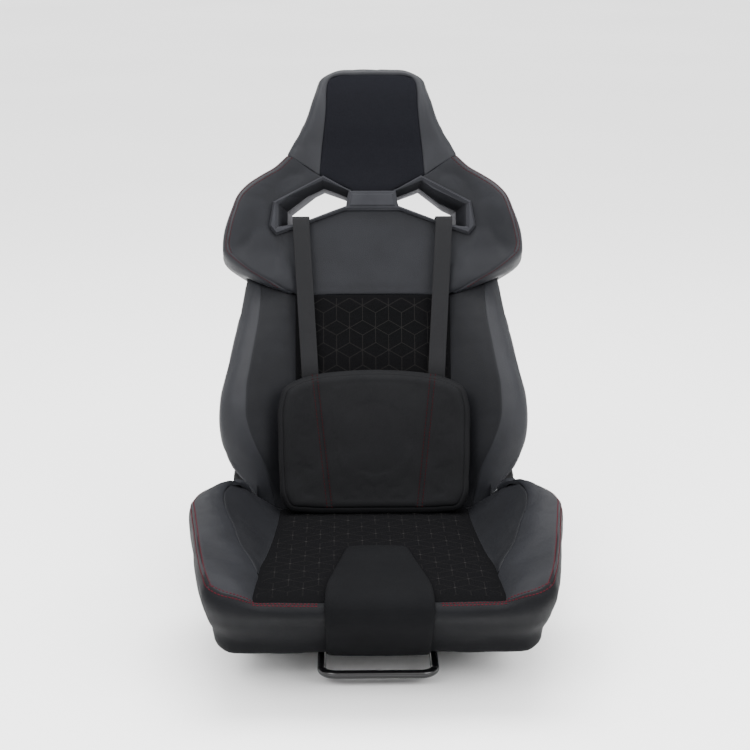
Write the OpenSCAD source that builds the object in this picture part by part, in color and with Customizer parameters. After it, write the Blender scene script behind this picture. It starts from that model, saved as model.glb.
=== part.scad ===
// Reclining racing seat with harness slots, lumbar pillow, sliding rails and a towel-bar slide release.
// The seat faces -Y, +Z is up. Dimensions in millimetres, angles in degrees.
// The origin is the centre of the rail bolt pattern, on the floor plane.

/* [Backrest] */
// Angle of the backrest from the vertical
recline = 20; // [16:1:24]
// Thickness of the steel brackets on the backrest
back_plate_t = 4; // [3:0.5:4.5]
// Outer diameter of the backrest frame tube
frame_d = 22; // [18:1:22]

/* [Harness slots] */
// Depth of the front bezel plate in front of the pad
bezel_t = 9; // [8:1:10]
// Wall of the sleeve that lines each slot
sleeve_t = 3; // [2:0.5:3]

/* [Lumbar pillow] */
// Width of the pillow
pillow_w = 308; // [280:2:310]
// Thickness of the pillow at its middle
pillow_t = 56; // [40:2:60]
// Width of the pillow straps
strap_w = 28; // [25:1:30]
// Thickness of the pillow straps
strap_t = 1.8; // [1.2:0.2:2]

/* [Cushion] */
// Height of the cushion surface at the rear
cushion_rear_z = 148; // [140:1:150]
// Height of the cushion surface at the front seam
cushion_front_z = 166; // [160:1:168]

/* [Rails] */
// Distance between the two rails, centre to centre
rail_gap = 345; // [330:5:350]
// Distance between the front and rear mounting holes
hole_pitch = 345; // [300:5:350]
// Radius of the mounting holes
hole_r = 4.5; // [4:0.25:5.5]
// Length of the lower rails
rail_len = 390; // [380:5:400]

/* [Towel bar] */
// Outer diameter of the towel bar tube
bar_d = 13; // [10:1:14]
// Distance between the legs of the towel bar at the front
bar_w = 167; // [150:1:170]

/* [Hidden] */
$fn = 48;

// centre of the bolt pattern in the working frame
oy = 85;
// recliner axis
py = 200;
pz = 150;
rx = rail_gap / 2;
rail_y0 = -105;
// side tubes of the backrest frame
fx = 201 - back_plate_t - frame_d / 2 - 0.1;
e = 0.01;

function lerp(a, b, t) = a + (b - a) * t;
function sm(t) = let (c = min(1, max(0, t))) c * c * (3 - 2 * c);
function flat(l) = [for (a = l) each a];

// ---------------------------------------------------------------- shared shapes

// A solid between two grids of points, F in front and B behind; rows go up and columns go to +X
module slab(F, B) {
  m = len(F); n = len(F[0]); o = m * n;
  polyhedron(points = concat(flat(F), flat(B)), convexity = 10, faces = concat(
    [for (j = [0:m-2]) for (i = [0:n-2]) each [[j*n+i, (j+1)*n+i, (j+1)*n+i+1], [j*n+i, (j+1)*n+i+1, j*n+i+1]]],
    [for (j = [0:m-2]) for (i = [0:n-2]) each [[o+j*n+i, o+(j+1)*n+i+1, o+(j+1)*n+i], [o+j*n+i, o+j*n+i+1, o+(j+1)*n+i+1]]],
    [for (i = [0:n-2]) each [[i, i+1, o+i+1], [i, o+i+1, o+i]]],
    [for (i = [0:n-2]) let (k = (m-1)*n) each [[k+i+1, k+i, o+k+i], [k+i+1, o+k+i, o+k+i+1]]],
    [for (j = [0:m-2]) each [[j*n, o+j*n, o+(j+1)*n], [j*n, o+(j+1)*n, (j+1)*n]]],
    [for (j = [0:m-2]) let (k = n-1) each [[j*n+k, o+(j+1)*n+k, o+j*n+k], [j*n+k, (j+1)*n+k, o+(j+1)*n+k]]]));
}

// Points of a convex outline moved outwards by d, corners kept sharp
function turned(p) = let (n = len(p), a = [for (i = [0:n-1]) p[i][0] * p[(i+1)%n][1] - p[(i+1)%n][0] * p[i][1]])
  [for (s = a) s] * [for (s = a) 1] > 0 ? 1 : -1;
function grow(p, d) = let (n = len(p), s = turned(p))
  [for (i = [0:n-1]) let (a = p[(i+n-1)%n], b = p[i], c = p[(i+1)%n],
    u = (b - a) / norm(b - a), v = (c - b) / norm(c - b),
    nu = s * [u[1], -u[0]], nv = s * [v[1], -v[0]], k = (nu + nv) / (1 + nu * nv))
    b + d * k];

// A solid between outline a at height w0 and outline b at height w1, point to point, both anticlockwise
module frustum(a, b, w0, w1) {
  n = len(a);
  rotate([90, 0, 0]) polyhedron(points = concat([for (p = a) [p[0], p[1], w0]], [for (p = b) [p[0], p[1], w1]]), convexity = 6, faces = concat(
    [[for (i = [0:n-1]) i]], [[for (i = [n-1:-1:0]) n + i]],
    [for (i = [0:n-1]) let (j = (i + 1) % n) each [[i, n+i, n+j], [i, n+j, j]]]));
}
function flip(p) = [for (i = [len(p)-1:-1:0]) [-p[i][0], p[i][1]]];

// A plate in the YZ plane, seen from +X, from x0 over thickness t
module yz(x0, t) { translate([x0, 0, 0]) rotate([90, 0, 90]) linear_extrude(t) children(); }
module on_side(s) { if (s > 0) children(); else mirror([1, 0, 0]) children(); }

// The backrest's own frame: x across, y rearwards, z up along the backrest, origin on the recliner axis
module back_frame() { translate([0, py, pz]) rotate([-recline, 0, 0]) children(); }
module final_place() { translate([0, -oy, 0]) children(); }

// ---------------------------------------------------------------- rails

module lower_rail(s) {
  color("dimgray") on_side(s) difference() {
    translate([rx, rail_y0, 0]) union() {
      translate([-25, 0, 0]) cube([50, rail_len, 2]);
      for (k = [-25, 23]) translate([k, 0, 0]) cube([2, rail_len, 22]);
      for (k = [-25, 13]) translate([k, 0, 20]) cube([12, rail_len, 2]);
    }
    for (k = [-1, 1]) translate([rx, oy + k * hole_pitch / 2, -1]) cylinder(h = 4, r = hole_r);
    for (i = [-7:13]) translate([rx - 22, -15 + 10 * i - 3.4, 19]) cube([8, 6.8, 4]);
  }
}

module rail_end_caps() {
  color("black") for (s = [-1, 1]) on_side(s) for (q = [rail_y0 - 4, rail_y0 + rail_len])
    translate([rx - 25, q, 0]) difference() {
      cube([50, 4, 22]);
      translate([8, -1, 4]) cube([34, 6, 19]);
    }
}

module upper_rail(s) {
  color("silver") on_side(s) difference() {
    translate([rx, rail_y0 + 15, 0]) union() {
      translate([-15, 0, 9]) cube([30, 360, 3]);
      for (k = [-8, 5]) translate([k, 0, 9]) cube([3, 360, 27]);
      translate([-14, 0, 34.5]) cube([28, 360, 3]);
    }
    for (q = [-30, 225]) translate([rx, q, 20]) cylinder(h = 30, r = 4.3);
  }
}

module rail_glides() {
  color("ivory") for (s = [-1, 1]) on_side(s) for (q = [-40, 130])
    for (k = [-22.4, 13]) translate([rx + k, q, 4]) difference() {
      cube([9.4, 30, 13]);
      translate([k < 0 ? 7.2 : -1, -1, 4.8]) cube([3.2, 32, 3.4]);
    }
}

module rail_spacers() {
  color("gray") for (s = [-1, 1]) on_side(s) for (q = [-30, 225])
    translate([rx, q, 37.5]) difference() { cylinder(h = 12.5, r = 10); translate([0, 0, -1]) cylinder(h = 16, r = 4.3); }
}

module seat_bolts() {
  color("silver") for (s = [-1, 1]) on_side(s) for (q = [-30, 225]) translate([rx, q, 0]) {
    top = q > 0 ? 56 : 52;
    translate([0, 0, 24]) cylinder(h = top + 2 - 24, r = 4);
    translate([0, 0, top]) cylinder(h = 5, r = 6.5, $fn = 6);
    translate([-4.8, -7, 28]) cube([9.6, 14, 6.4]);
  }
}

// ---------------------------------------------------------------- seat base

module seat_pan() {
  color("darkslategray") difference() {
    union() {
      translate([-205, -205, 50]) cube([410, 445, 2]);
      for (k = [-205, 203]) translate([k, -205, 42]) cube([2, 445, 10]);
      translate([-205, -205, 46]) cube([410, 2, 6]);
      translate([-205, 238, 42]) cube([410, 2, 10]);
      for (k = [-110, -40, 30, 100]) translate([k, -180, 47]) cube([10, 340, 3]);
    }
    for (s = [-1, 1]) for (q = [-30, 225]) translate([s * rx, q, 40]) cylinder(h = 20, r = 4.3);
    for (x = [-75, 0, 75]) for (q = [-110, 0, 110]) translate([x - 5, q, 40]) cylinder(h = 20, r = 12);
  }
}

// surface height of the cushion along its length
function top_z(q) = lookup(q, [[-300, cushion_front_z], [75, cushion_rear_z], [150, cushion_rear_z - 2]]);
// half-width of the centre panel, of the ridge and of the rim, and their heights
function edge_x(q) = lookup(q, [[-315, 182], [-178, 177], [-110, 168], [-7, 160], [75, 156], [150, 154]]);
function ridge_x(q) = lookup(q, [[-315, 196], [-230, 196], [-187, 198], [-143, 206], [-91, 218], [-42, 229], [11, 236], [60, 228], [118, 204]]);
function ridge_z(q) = lookup(q, [[-315, 176], [-187, 180], [-143, 190], [-91, 203], [-42, 214], [11, 221], [60, 226], [95, 222], [118, 205]]);
function rim_x(q) = lookup(q, [[-328, 214], [-323, 236], [-310, 243], [-293, 249], [-227, 261], [-140, 273], [-77, 281], [-33, 284], [-14, 279], [17, 269], [36, 257], [66, 238], [118, 216]]);
function rim_z(q) = lookup(q, [[-323, 194], [-293, 202], [-227, 209], [-140, 215], [-77, 218], [-14, 223], [40, 226], [66, 226], [95, 220], [118, 200]]);

module cushion_centre() {
  ys = [-310, -250, -178, -110, -7, 75, 145];
  color("black") slab(
    [for (q = ys) [for (k = [-1, -0.5, 0, 0.5, 1]) [k * (edge_x(q) - 0.4), q, top_z(q) + (q > 50 ? 0.5 : 3) * (1 - k * k)]]],
    [for (q = ys) [for (k = [-1, -0.5, 0, 0.5, 1]) [k * (edge_x(q) - 0.4), q > -300 ? max(q, -218) : -252, q > -300 ? 52.4 : 98]]]);
}

// one bolster: across the columns it rises from the centre panel to a ridge and rolls over its rim
module cushion_bolster(s) {
  ys = [-312, -280, -227, -187, -143, -91, -42, 11, 45, 80, 105, 118];
  T = [for (q = ys) let (a = edge_x(q) + 0.4, r = ridge_x(q), x = rim_x(q), za = top_z(q), zr = ridge_z(q), zx = rim_z(q))
    [[a, q, za - 1], [lerp(a, r, 0.35), q, lerp(za, zr, 0.25)], [lerp(a, r, 0.7), q, lerp(za, zr, 0.7)], [r, q, zr],
     [lerp(r, x, 0.5), q, max(zr, zx) + 1], [lerp(r, x, 0.85), q, zx + 1], [x, q, zx - 8], [x + 3, q, zx - 26],
     [lerp(x, 228, 0.35) + 2, q, 130]]];
  B = [for (q = ys) let (a = edge_x(q) + 0.4, f = q < -300 ? 1 : 0, y = lookup(q, [[-312, -256], [-280, -240], [-227, -218], [-187, -187], [118, 118]]), z = lookup(q, [[-312, 98], [-280, 76], [-227, 52.4]]))
    [for (k = [0, 0.2, 0.35, 0.5, 0.65, 0.8, 0.9, 1, 1.15]) [lerp(a, 215, min(1, k)) + (k > 1 ? 9 : 0), y, k > 1 ? z + 14 : z]]];
  color("dimgray") on_side(s) difference() {
    slab(T, B);
    translate([rx, -30, 40]) cylinder(h = 24, r = 10);
    yz(170, 100) polygon([[-224.8, 50], [-261.8, 116.9], [-311.3, 192.3], [-311.4, 260], [-400, 260], [-400, 40], [-224.8, 40]]);
  }
}

// the front panel under the seam; it leans back towards its lower edge
module cushion_front_apron() {
  xs = [-236, -205, -140, -70, 0, 70, 140, 205, 236];
  zt = function (x) lookup(abs(x), [[0, 165], [140, 168], [180, 173], [205, 180], [225, 188], [236, 192]]);
  ct = function (x) lookup(abs(x), [[0, 0], [180, 0], [205, 3], [225, 8], [236, 16]]);
  color("dimgray") slab(
    [for (v = [0, 0.12, 0.45, 0.8, 1]) [for (x = xs) [x * lerp(0.93, 1, sm(v * 1.6)), lookup(v, [[0, -236], [0.12, -247], [0.45, -290], [0.8, -325], [1, -322]]) + ct(x), lerp(55, zt(x), v)]]],
    [for (v = [0, 0.12, 0.45, 0.8, 1]) [for (x = xs) [x * lerp(0.93, 1, sm(v * 1.6)), v < 0.5 ? lerp(-226, -263, v / 0.45) : lerp(-263, -312.5, (v - 0.45) / 0.55) , lerp(55, zt(x), v)]]]);
}

// the raised pad over the middle of the front edge
module cushion_front_pad() {
  color("black") intersection() {
    yz(-100, 200) polygon([[-85, top_z(-85) + 3.8], [-85, top_z(-85) + 6], [-96, top_z(-96) + 12], [-285, top_z(-285) + 12.5], [-318, 175], [-332, 160], [-334, 140],
      [-300, 98], [-258, 62], [-246, 52], [-233, 54], [-237.5, 54.6], [-249, 68], [-291.5, 104], [-326.5, 143], [-323.7, 166], [-314, 170.2], [-300, 170.2]]);
    translate([0, 0, 40]) linear_extrude(160) polygon([[-44, -80], [-46, -95], [-56, -150], [-70, -225], [-77, -275], [-78, -340], [78, -340], [77, -275], [70, -225], [56, -150], [46, -95], [44, -80]]);
  }
}

// ---------------------------------------------------------------- recliner

module bracket_bores(x0, t, r) { translate([x0, py, pz]) rotate([0, 90, 0]) cylinder(h = t, r = r); }

module recliner_base_bracket(s) {
  color("silver") on_side(s) difference() {
    union() {
      yz(214, 4) union() {
        translate([py, pz]) circle(r = 38);
        polygon([[158, 52], [245, 52], [245, 90], [237, 158], [163, 158], [158, 110]]);
      }
      translate([150, 158, 52]) cube([68, 82, 4]);
      translate([206, 162, 56]) rotate([90, 0, 0]) linear_extrude(3) polygon([[-30, 0], [8.5, 0], [8.5, 40]]);
    }
    bracket_bores(210, 12, 6.1);
    translate([rx, 225, 45]) cylinder(h = 20, r = 4.3);
  }
}

module recliner_fixed_plate(s) {
  color("gray") on_side(s) difference() {
    translate([207.4, py, pz]) rotate([0, 90, 0]) cylinder(h = 6.6, r = 35);
    bracket_bores(206, 10, 12.1);
    for (k = [0:5]) translate([209.4, py + 26 * cos(60 * k), pz + 26 * sin(60 * k)]) rotate([0, -90, 0]) cylinder(h = 4, r = 3);
  }
}

module recliner_moving_plate(s) {
  color("lightgray") on_side(s) back_frame_axis() difference() {
    union() {
      translate([201, 0, 0]) rotate([0, 90, 0]) cylinder(h = 6, r = 34);
      translate([201, 0, 0]) rotate([0, 90, 0]) cylinder(h = 12.6, r = 12);
    }
    translate([200, 0, 0]) rotate([0, 90, 0]) cylinder(h = 16, r = 6.1);
  }
}
module back_frame_axis() { back_frame() children(); }

module recliner_back_bracket(s) {
  color("silver") on_side(s) back_frame() difference() {
    union() {
      translate([201 - back_plate_t, 0, 0]) rotate([0, 90, 0]) cylinder(h = back_plate_t, r = 38);
      yz(201 - back_plate_t, back_plate_t) polygon([[-9, 10], [-9, 100], [-2, 125], [24, 125], [30, 112], [30, 5], [10, 5]]);
    }
    translate([190, 0, 0]) rotate([0, 90, 0]) cylinder(h = 20, r = 6.1);
  }
}

// clock spring: a flat strip wound outwards
module recliner_spring(s) {
  n = 60;
  r = function (k, d) 13 + 15 * k / n + d;
  color("dimgray") on_side(s) translate([218.1, py, pz]) rotate([90, 0, 90]) linear_extrude(4) polygon(concat(
    [for (k = [0:n]) [r(k, 0) * cos(900 * k / n), r(k, 0) * sin(900 * k / n)]],
    [for (k = [n:-1:0]) [r(k, 1.6) * cos(900 * k / n), r(k, 1.6) * sin(900 * k / n)]]));
}

module cover_outline(d) {
  union() {
    translate([py, pz]) circle(r = 46 - d);
    polygon([[150 + d, 58 + d], [248 - d, 58 + d], [248 - d, 100], [246 - d, 150], [154 + d, 150], [150 + d, 110]]);
  }
}
module recliner_cover(s) {
  color([0.09, 0.09, 0.1]) on_side(s) difference() {
    union() {
      yz(218.2, 11) cover_outline(0);
      yz(229.2, 3) cover_outline(4);
    }
    yz(217, 12) cover_outline(3);
    if (s > 0) bracket_bores(225, 12, 12.6);
  }
}

// ---------------------------------------------------------------- slide release

// one bent tube: crossbar, two legs, and two arms that end in ears on the pivot pins
arm_x = 136;
module towel_bar() {
  h = bar_w / 2; r = bar_d / 2; g = 22; q = -238; y1 = -142; z = 21;
  color("black") difference() {
    union() {
      translate([g - h, q, z]) rotate([0, 90, 0]) cylinder(h = 2 * (h - g), r = r);
      for (s = [-1, 1]) on_side(s) {
        translate([h - g, q + g, z]) rotate([0, 0, -90]) rotate_extrude(angle = 90) translate([g, 0]) circle(r = r);
        translate([h, q + g, z]) rotate([-90, 0, 0]) cylinder(h = y1 - q - g, r = r);
        translate([h + g, y1, z]) rotate([0, 0, 90]) rotate_extrude(angle = 90) translate([g, 0]) circle(r = r);
        translate([h + g, y1 + g, z]) rotate([0, 90, 0]) cylinder(h = arm_x - h - 2 * g, r = r);
        translate([arm_x - g, y1 + 2 * g, z]) rotate([0, 0, -90]) rotate_extrude(angle = 90) translate([g, 0]) circle(r = r);
        translate([arm_x, y1 + 2 * g, z]) rotate([-90, 0, 0]) cylinder(h = 34 - y1 - 2 * g, r = r);
        translate([139, -32, 15]) cube([7, 57, 18]);
        translate([139, 25, 28]) rotate([0, 90, 0]) cylinder(h = 7, r = 9);
      }
    }
    for (s = [-1, 1]) translate([s * arm_x - 12, 25, 28]) rotate([0, 90, 0]) cylinder(h = 24, r = 3.05);
  }
}

module towel_bar_pivots() {
  color("silver") for (s = [-1, 1]) on_side(s) {
    translate([138, 25, 28]) rotate([0, 90, 0]) cylinder(h = 26.4, r = 3);
    translate([147, 25, 28]) rotate([0, 90, 0]) cylinder(h = 3, r = 5.5);
  }
}

module rail_latch(s) {
  color("silver") on_side(s) union() {
    translate([146.1, -29, 22.6]) cube([rx - 15 - 146.1, 28, 2.6]);
    for (q = [-25, -15, -5]) translate([rx - 21, q - 2.6, 19.9]) cube([6, 5.2, 3]);
  }
}

// ---------------------------------------------------------------- recline lever

module sync_shaft() {
  color("silver") translate([-219, py, pz]) rotate([0, 90, 0]) cylinder(h = 219 + 267, r = 6);
}
module lever_arm() {
  color([0.12, 0.12, 0.13]) difference() {
    union() {
      translate([234, py, pz]) rotate([0, 90, 0]) cylinder(h = 34, r = 12);
      yz(261, 7) polygon([[py - 4, pz + 13], [py + 12, pz + 4], [py + 9, pz - 10], [150, 121], [72, 101], [66, 108], [70, 118], [146, 139]]);
    }
    bracket_bores(233, 40, 6.05);
  }
}
module lever_grip() {
  color([0.07, 0.07, 0.08]) difference() {
    union() {
      yz(255, 19) polygon([[52, 102], [58, 94], [72, 93.5], [138, 111], [146, 120], [142, 137], [134, 143], [70, 126], [54, 114]]);
      yz(252, 25) polygon([[58, 103], [64, 98], [72, 98], [136, 115], [141, 122], [137, 134], [132, 138], [72, 122], [60, 112]]);
    }
    yz(260.6, 7.8) polygon([[py - 4, pz + 13], [py + 12, pz + 4], [py + 9, pz - 10], [150, 120.5], [72, 100.5], [65.5, 108], [69.6, 118.5], [146, 139.5]]);
  }
}

// ---------------------------------------------------------------- backrest

// front surface at the middle, measured forwards from the recliner axis plane
function mid_w(u) = lookup(u, [[-30, 34], [60, 42], [150, 46], [250, 42], [330, 40], [530, 40], [575, 44], [620, 54], [665, 58], [700, 52], [717, 40]]);
// rear surface, with its wrap towards the sides
function rear_w(x, u) = lookup(u, [[-30, -40], [60, -45], [480, -45], [560, -37], [640, -24], [717, -4]])
  + lookup(u, [[300, 40], [380, 60]]) * pow(max(0, abs(x) - 150) / 100, 2);
// lower edge of the upper pad
function wing_u(x) = 330 + 68 * pow(abs(x) / 244, 4.8);

// harness slot outlines at the front of the bezel and at the back of the seat; the slot tapers between them
slot_front = [[158, 484], [83, 525], [39, 507], [44, 481], [129, 449], [158, 446]];
slot_rear = [[136, 482], [80, 521], [40, 506], [46, 483], [118, 457], [136, 458]];
front_w = 42 + bezel_t;
function slot_at(w, d = 0) = let (t = (front_w - w) / (front_w + 53)) grow([for (i = [0:5]) lerp(slot_front[i], slot_rear[i], t)], d);
bezel_half = [[36, 507], [82, 533], [166, 489], [173, 447], [161, 432], [46, 474]];
bezel_pts = concat([for (i = [5:-1:0]) bezel_half[i]], [for (p = bezel_half) [-p[0], p[1]]]);
module slot_cut(w0, w1, d) {
  intersection() {
    union() {
      frustum(slot_at(-90, d), slot_at(120, d), -90, 120);
      frustum(flip(slot_at(-90, d)), flip(slot_at(120, d)), -90, 120);
    }
    translate([-250, -w1, 380]) cube([500, w1 - w0, 220]);
  }
}

// prism through the backrest from w0 forwards over depth d
module through(p, w0, d) { rotate([90, 0, 0]) translate([0, 0, w0]) linear_extrude(d) polygon(p); }

module frame_channels() {
  for (s = [-1, 1]) translate([s * fx - 12.5, 1, 14]) cube([25, 60, 412]);
  translate([-200, 1, 388]) cube([400, 60, 26]);
  translate([-200, 1, 47]) cube([400, 60, 26]);
  for (s = [-1, 1]) translate([s * 16 - 6.5, 1, 400]) cube([13, 60, 244]);
  translate([-22.5, 1, 628]) cube([45, 60, 16]);
  for (s = [-1, 1]) translate([s * (fx - 22) - 30, 1, 350]) cube([60, 60, 76]);
}

module backrest_frame() {
  r = frame_d / 2;
  color("gray") back_frame() translate([0, 15, 0]) difference() {
    union() {
      for (s = [-1, 1]) translate([s * fx, 0, 24]) cylinder(h = 340, r = r);
      for (s = [-1, 1]) translate([s * (fx - 37), 0, 364]) rotate([90, 0, 0]) rotate([0, 0, s > 0 ? 0 : 90]) rotate_extrude(angle = 90) translate([37, 0]) circle(r = r);
      translate([37 - fx, 0, 401]) rotate([0, 90, 0]) cylinder(h = 2 * fx - 74, r = r);
      translate([-fx, 0, 60]) rotate([0, 90, 0]) cylinder(h = 2 * fx, r = r);
      for (s = [-1, 1]) translate([s * 16, 0, 401]) cylinder(h = 235, r = 5);
      translate([-16, 0, 636]) rotate([0, 90, 0]) cylinder(h = 32, r = 5);
      for (s = [-1, 1]) translate([s * 16, 0, 636]) sphere(r = 5);
    }
    for (s = [-1, 1]) for (q = [100, 220, 330]) translate([s * fx, 0, q]) rotate([-90, 0, 0]) cylinder(h = 20, r = 2.7);
    for (x = [-70, 70]) translate([x, 0, 401]) rotate([-90, 0, 0]) cylinder(h = 20, r = 2.7);
  }
}

module backrest_insert() {
  us = [-30, 15, 60, 105, 150, 200, 250, 290, 329];
  color("black") back_frame() difference() {
    translate([-128.6, 0, 0]) rotate([90, 0, 90]) linear_extrude(257.2) polygon(concat(
      [[24, -34]], [for (u = us) [-mid_w(u), u]], [[44.2, 329], [44.2, 60], [39.6, -24]]));
    frame_channels();
    translate([-200, 0, 0]) rotate([0, 90, 0]) cylinder(h = 400, r = 9);
  }
}

function bol_x(u) = lookup(u, [[-30, 190], [0, 205], [20, 217], [38, 229], [65, 242], [94, 251], [124, 254], [152, 253], [203, 243], [260, 230], [330, 215], [355, 210]]);
function crease_x(u) = lookup(u, [[-30, 160], [0, 166], [42, 176], [77, 192], [108, 204], [135, 209], [177, 208], [201, 204], [244, 197], [304, 188], [346, 186]]);
function crease_w(u) = lookup(u, [[-30, 38], [0, 46], [20, 56], [42, 66], [77, 82], [108, 90], [135, 93], [177, 90], [201, 86], [244, 76], [304, 60], [346, 46]]);
function outer_w(u) = lookup(u, [[-30, 10], [0, 34], [20, 48], [42, 52], [77, 58], [108, 62], [177, 60], [244, 48], [304, 36], [355, 24]]);

module backrest_bolster(s) {
  us = [-30, 0, 20, 42, 77, 108, 150, 201, 244, 304, 400];
  uu = function (u, x) u > 350 ? wing_u(x) - 2 : u;
  P = function (x, w, u) [x, -w, uu(u, x)];
  F = [for (q = us) let (u = min(q, 350), c = crease_x(u), w = crease_w(u), o = bol_x(u), v = outer_w(u), a = 129.4, b = mid_w(u) - 1)
    [P(a, b, q), P(lerp(a, c, 0.4), lerp(b, w, 0.3), q), P(lerp(a, c, 0.75), lerp(b, w, 0.72), q), P(c, w, q),
     P(lerp(c, o, 0.45), lerp(w, v, 0.2), q), P(lerp(c, o, 0.85), lerp(w, v, 0.6), q), P(o, v, q)]];
  B = [for (q = us) let (u = min(q, 350), o = bol_x(u) - 5)
    [for (k = [0, 0.25, 0.45, 0.6, 0.75, 0.88, 1]) let (x = lerp(129.4, o, k)) P(x, rear_w(x, u) + 2.4 + 3 * k, q)]];
  color("dimgray") back_frame() on_side(s) difference() {
    slab(F, B);
    translate([194, -50, -60]) cube([80, 140, 112]);
    translate([194, -12, -60]) cube([9, 100, 196]);
    frame_channels();
    translate([100, 0, 0]) rotate([0, 90, 0]) cylinder(h = 200, r = 9);
  }
}

// rows of the upper pad: height at the middle, height at the side edge, half-width
pad_rows = [[330, 398, 244], [345, 409, 248], [375, 428, 247], [415, 455, 240], [455, 488, 226], [490, 514, 207], [518, 533, 180],
  [545, 551, 154], [580, 585, 131], [620, 622, 114], [660, 660, 99], [690, 685, 90], [708, 698, 80], [717, 704, 62]];
wing_rise = function (u) lookup(u, [[330, 38], [400, 46], [450, 44], [490, 34], [530, 18], [570, 10], [620, 8], [700, 6]]);
wing_from = function (u) lookup(u, [[330, 128], [390, 160], [430, 176], [490, 173], [530, 150], [552, 110], [575, 86], [610, 60], [700, 40]]);

module backrest_upper_pad() {
  ts = [-1, -0.96, -0.88, -0.78, -0.66, -0.5, -0.25, 0, 0.25, 0.5, 0.66, 0.78, 0.88, 0.96, 1];
  at = function (r, t) [t * r[2], r[0] + (r[1] - r[0]) * pow(abs(t), 4.8)];
  fw = function (x, u, h) mid_w(u) + wing_rise(u) * sm((abs(x) - wing_from(u)) / (h - wing_from(u)));
  soft = function (t) abs(t) > 0.99 ? 13 : abs(t) > 0.95 ? 4 : 0;
  color("dimgray") back_frame() difference() {
    slab([for (r = pad_rows) [for (t = ts) let (p = at(r, t)) [p[0], -(fw(p[0], p[1], r[2]) - soft(t)), p[1]]]],
         [for (r = pad_rows) [for (t = ts) let (p = at(r, t)) [p[0], -(rear_w(p[0], p[1]) + 1 + 3 * abs(t) + soft(t) * 0.5), p[1]]]]);
    slot_cut(-90, 120, sleeve_t + 1.2);
    frame_channels();
  }
}

screw_spots = concat([for (s = [-1, 1]) for (q = [100, 220, 330]) [s * fx, q]], [[-70, 401], [70, 401]]);
function screw_seat(p) = 2.2 - rear_w(p[0], p[1]);

// hard shell over the back: height and half-width of its rows
shell_rows = [[-15, 170], [50, 184], [62, 216], [84, 233], [124, 246], [155, 244], [203, 235], [260, 222], [330, 207], [358, 202], [376, 214], [395, 233], [412, 240],
  [449, 233], [490, 216], [514, 199], [532, 173], [548, 150], [572, 129], [610, 112], [650, 94], [684, 78], [700, 58]];

module back_shell() {
  ts = [-1, -0.9, -0.75, -0.5, 0, 0.5, 0.75, 0.9, 1];
  G = function (d) [for (r = shell_rows) [for (t = ts) [t * r[1], -(rear_w(t * r[1], r[0]) - d), r[0]]]];
  color([0.1, 0.1, 0.11]) back_frame() difference() {
    slab(G(0.5), G(4.5));
    slot_cut(-90, 10, sleeve_t + 1.4);
    for (p = screw_spots) translate([p[0], 10, p[1]]) rotate([-90, 0, 0]) { cylinder(h = 50, r = 2.8); translate([0, 0, screw_seat(p) - 10]) cylinder(h = 20, r = 6.6); }
  }
}

module back_shell_screws() {
  color("black") back_frame() {
    for (p = screw_spots) translate([p[0], screw_seat(p) + 0.05, p[1]]) screw(screw_seat(p) - 20);
  }
}
// pan-head screw pointing forwards from its head's seat
module screw(l) {
  rotate([-90, 0, 0]) difference() {
    union() { cylinder(h = 3, r = 5.5); translate([0, 0, -l]) cylinder(h = l + 1, r = 2.5); }
    translate([0, 0, 1.4]) cylinder(h = 3, r = 2.3, $fn = 6);
  }
}

module harness_bezel_front() {
  bridge = [[40, 479], [35, 502], [-35, 502], [-40, 479]];
  color([0.1, 0.1, 0.11]) back_frame() difference() {
    union() {
      // a flat plate, its outer edge bevelled 3.5 mm over the part above w = 45
      intersection() {
        through(bezel_pts, 42, front_w - 42);
        frustum(grow(bezel_pts, 3.5), grow(bezel_pts, -7), 90 - front_w, 2 * front_w - 45);
      }
      frustum(bridge, grow(bridge, -3), front_w - 1, front_w + 2.5);
      slot_cut(-18, 43, sleeve_t);
    }
    slot_cut(-30, front_w + 10, 0);
    frustum(grow(slot_front, -1), grow(slot_front, 4.5), front_w - 5, front_w + 0.5);
    frustum(flip(grow(slot_front, -1)), flip(grow(slot_front, 4.5)), front_w - 5, front_w + 0.5);
  }
}

module harness_bezel_rear() {
  color([0.75, 0.75, 0.77]) back_frame() difference() {
    union() {
      frustum(slot_at(-53, 9), slot_at(-53, 9), -53, -49.9);
      frustum(flip(slot_at(-53, 9)), flip(slot_at(-53, 9)), -53, -49.9);
      slot_cut(-51, -20, sleeve_t);
      through([[-60, 504], [60, 504], [60, 484], [-60, 484]], -53, 3.1);
    }
    slot_cut(-60, -10, 0);
  }
}

// ---------------------------------------------------------------- pillow and straps

// centreline of a strap as distance forwards and height
strap_route = [[58, 201.4], [54.4, 430], [53.4, 456], [51, 461], [45, 462.4], [-48, 462.4], [-54, 461], [-56.6, 456], [-56.6, 344]];
module strap_shape() {
  n = len(strap_route);
  side = function (k) [for (i = [0:n-1]) let (a = strap_route[max(0, i-1)], b = strap_route[min(n-1, i+1)], d = (b - a) / norm(b - a)) strap_route[i] + k * [-d[1], d[0]]];
  polygon([for (p = concat(side(strap_t / 2), [for (i = [n-1:-1:0]) side(-strap_t / 2)[i]])) [-p[0], p[1]]]);
}
module lumbar_strap(s) {
  color("dimgray") back_frame() on_side(s) translate([119 - strap_w / 2, 0, 0]) rotate([90, 0, 90]) linear_extrude(strap_w) strap_shape();
}

module strap_buckles() {
  color("black") back_frame() for (s = [-1, 1]) translate([s * 119, 0, 0]) difference() {
    translate([-20, 50.4, 322]) cube([40, 11, 24]);
    translate([-strap_w / 2 - 1, 54.6, 320]) cube([strap_w + 2, 4, 40]);
    translate([-strap_w / 2 - 1, 60, 330]) cube([strap_w + 2, 4, 8]);
  }
}

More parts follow.
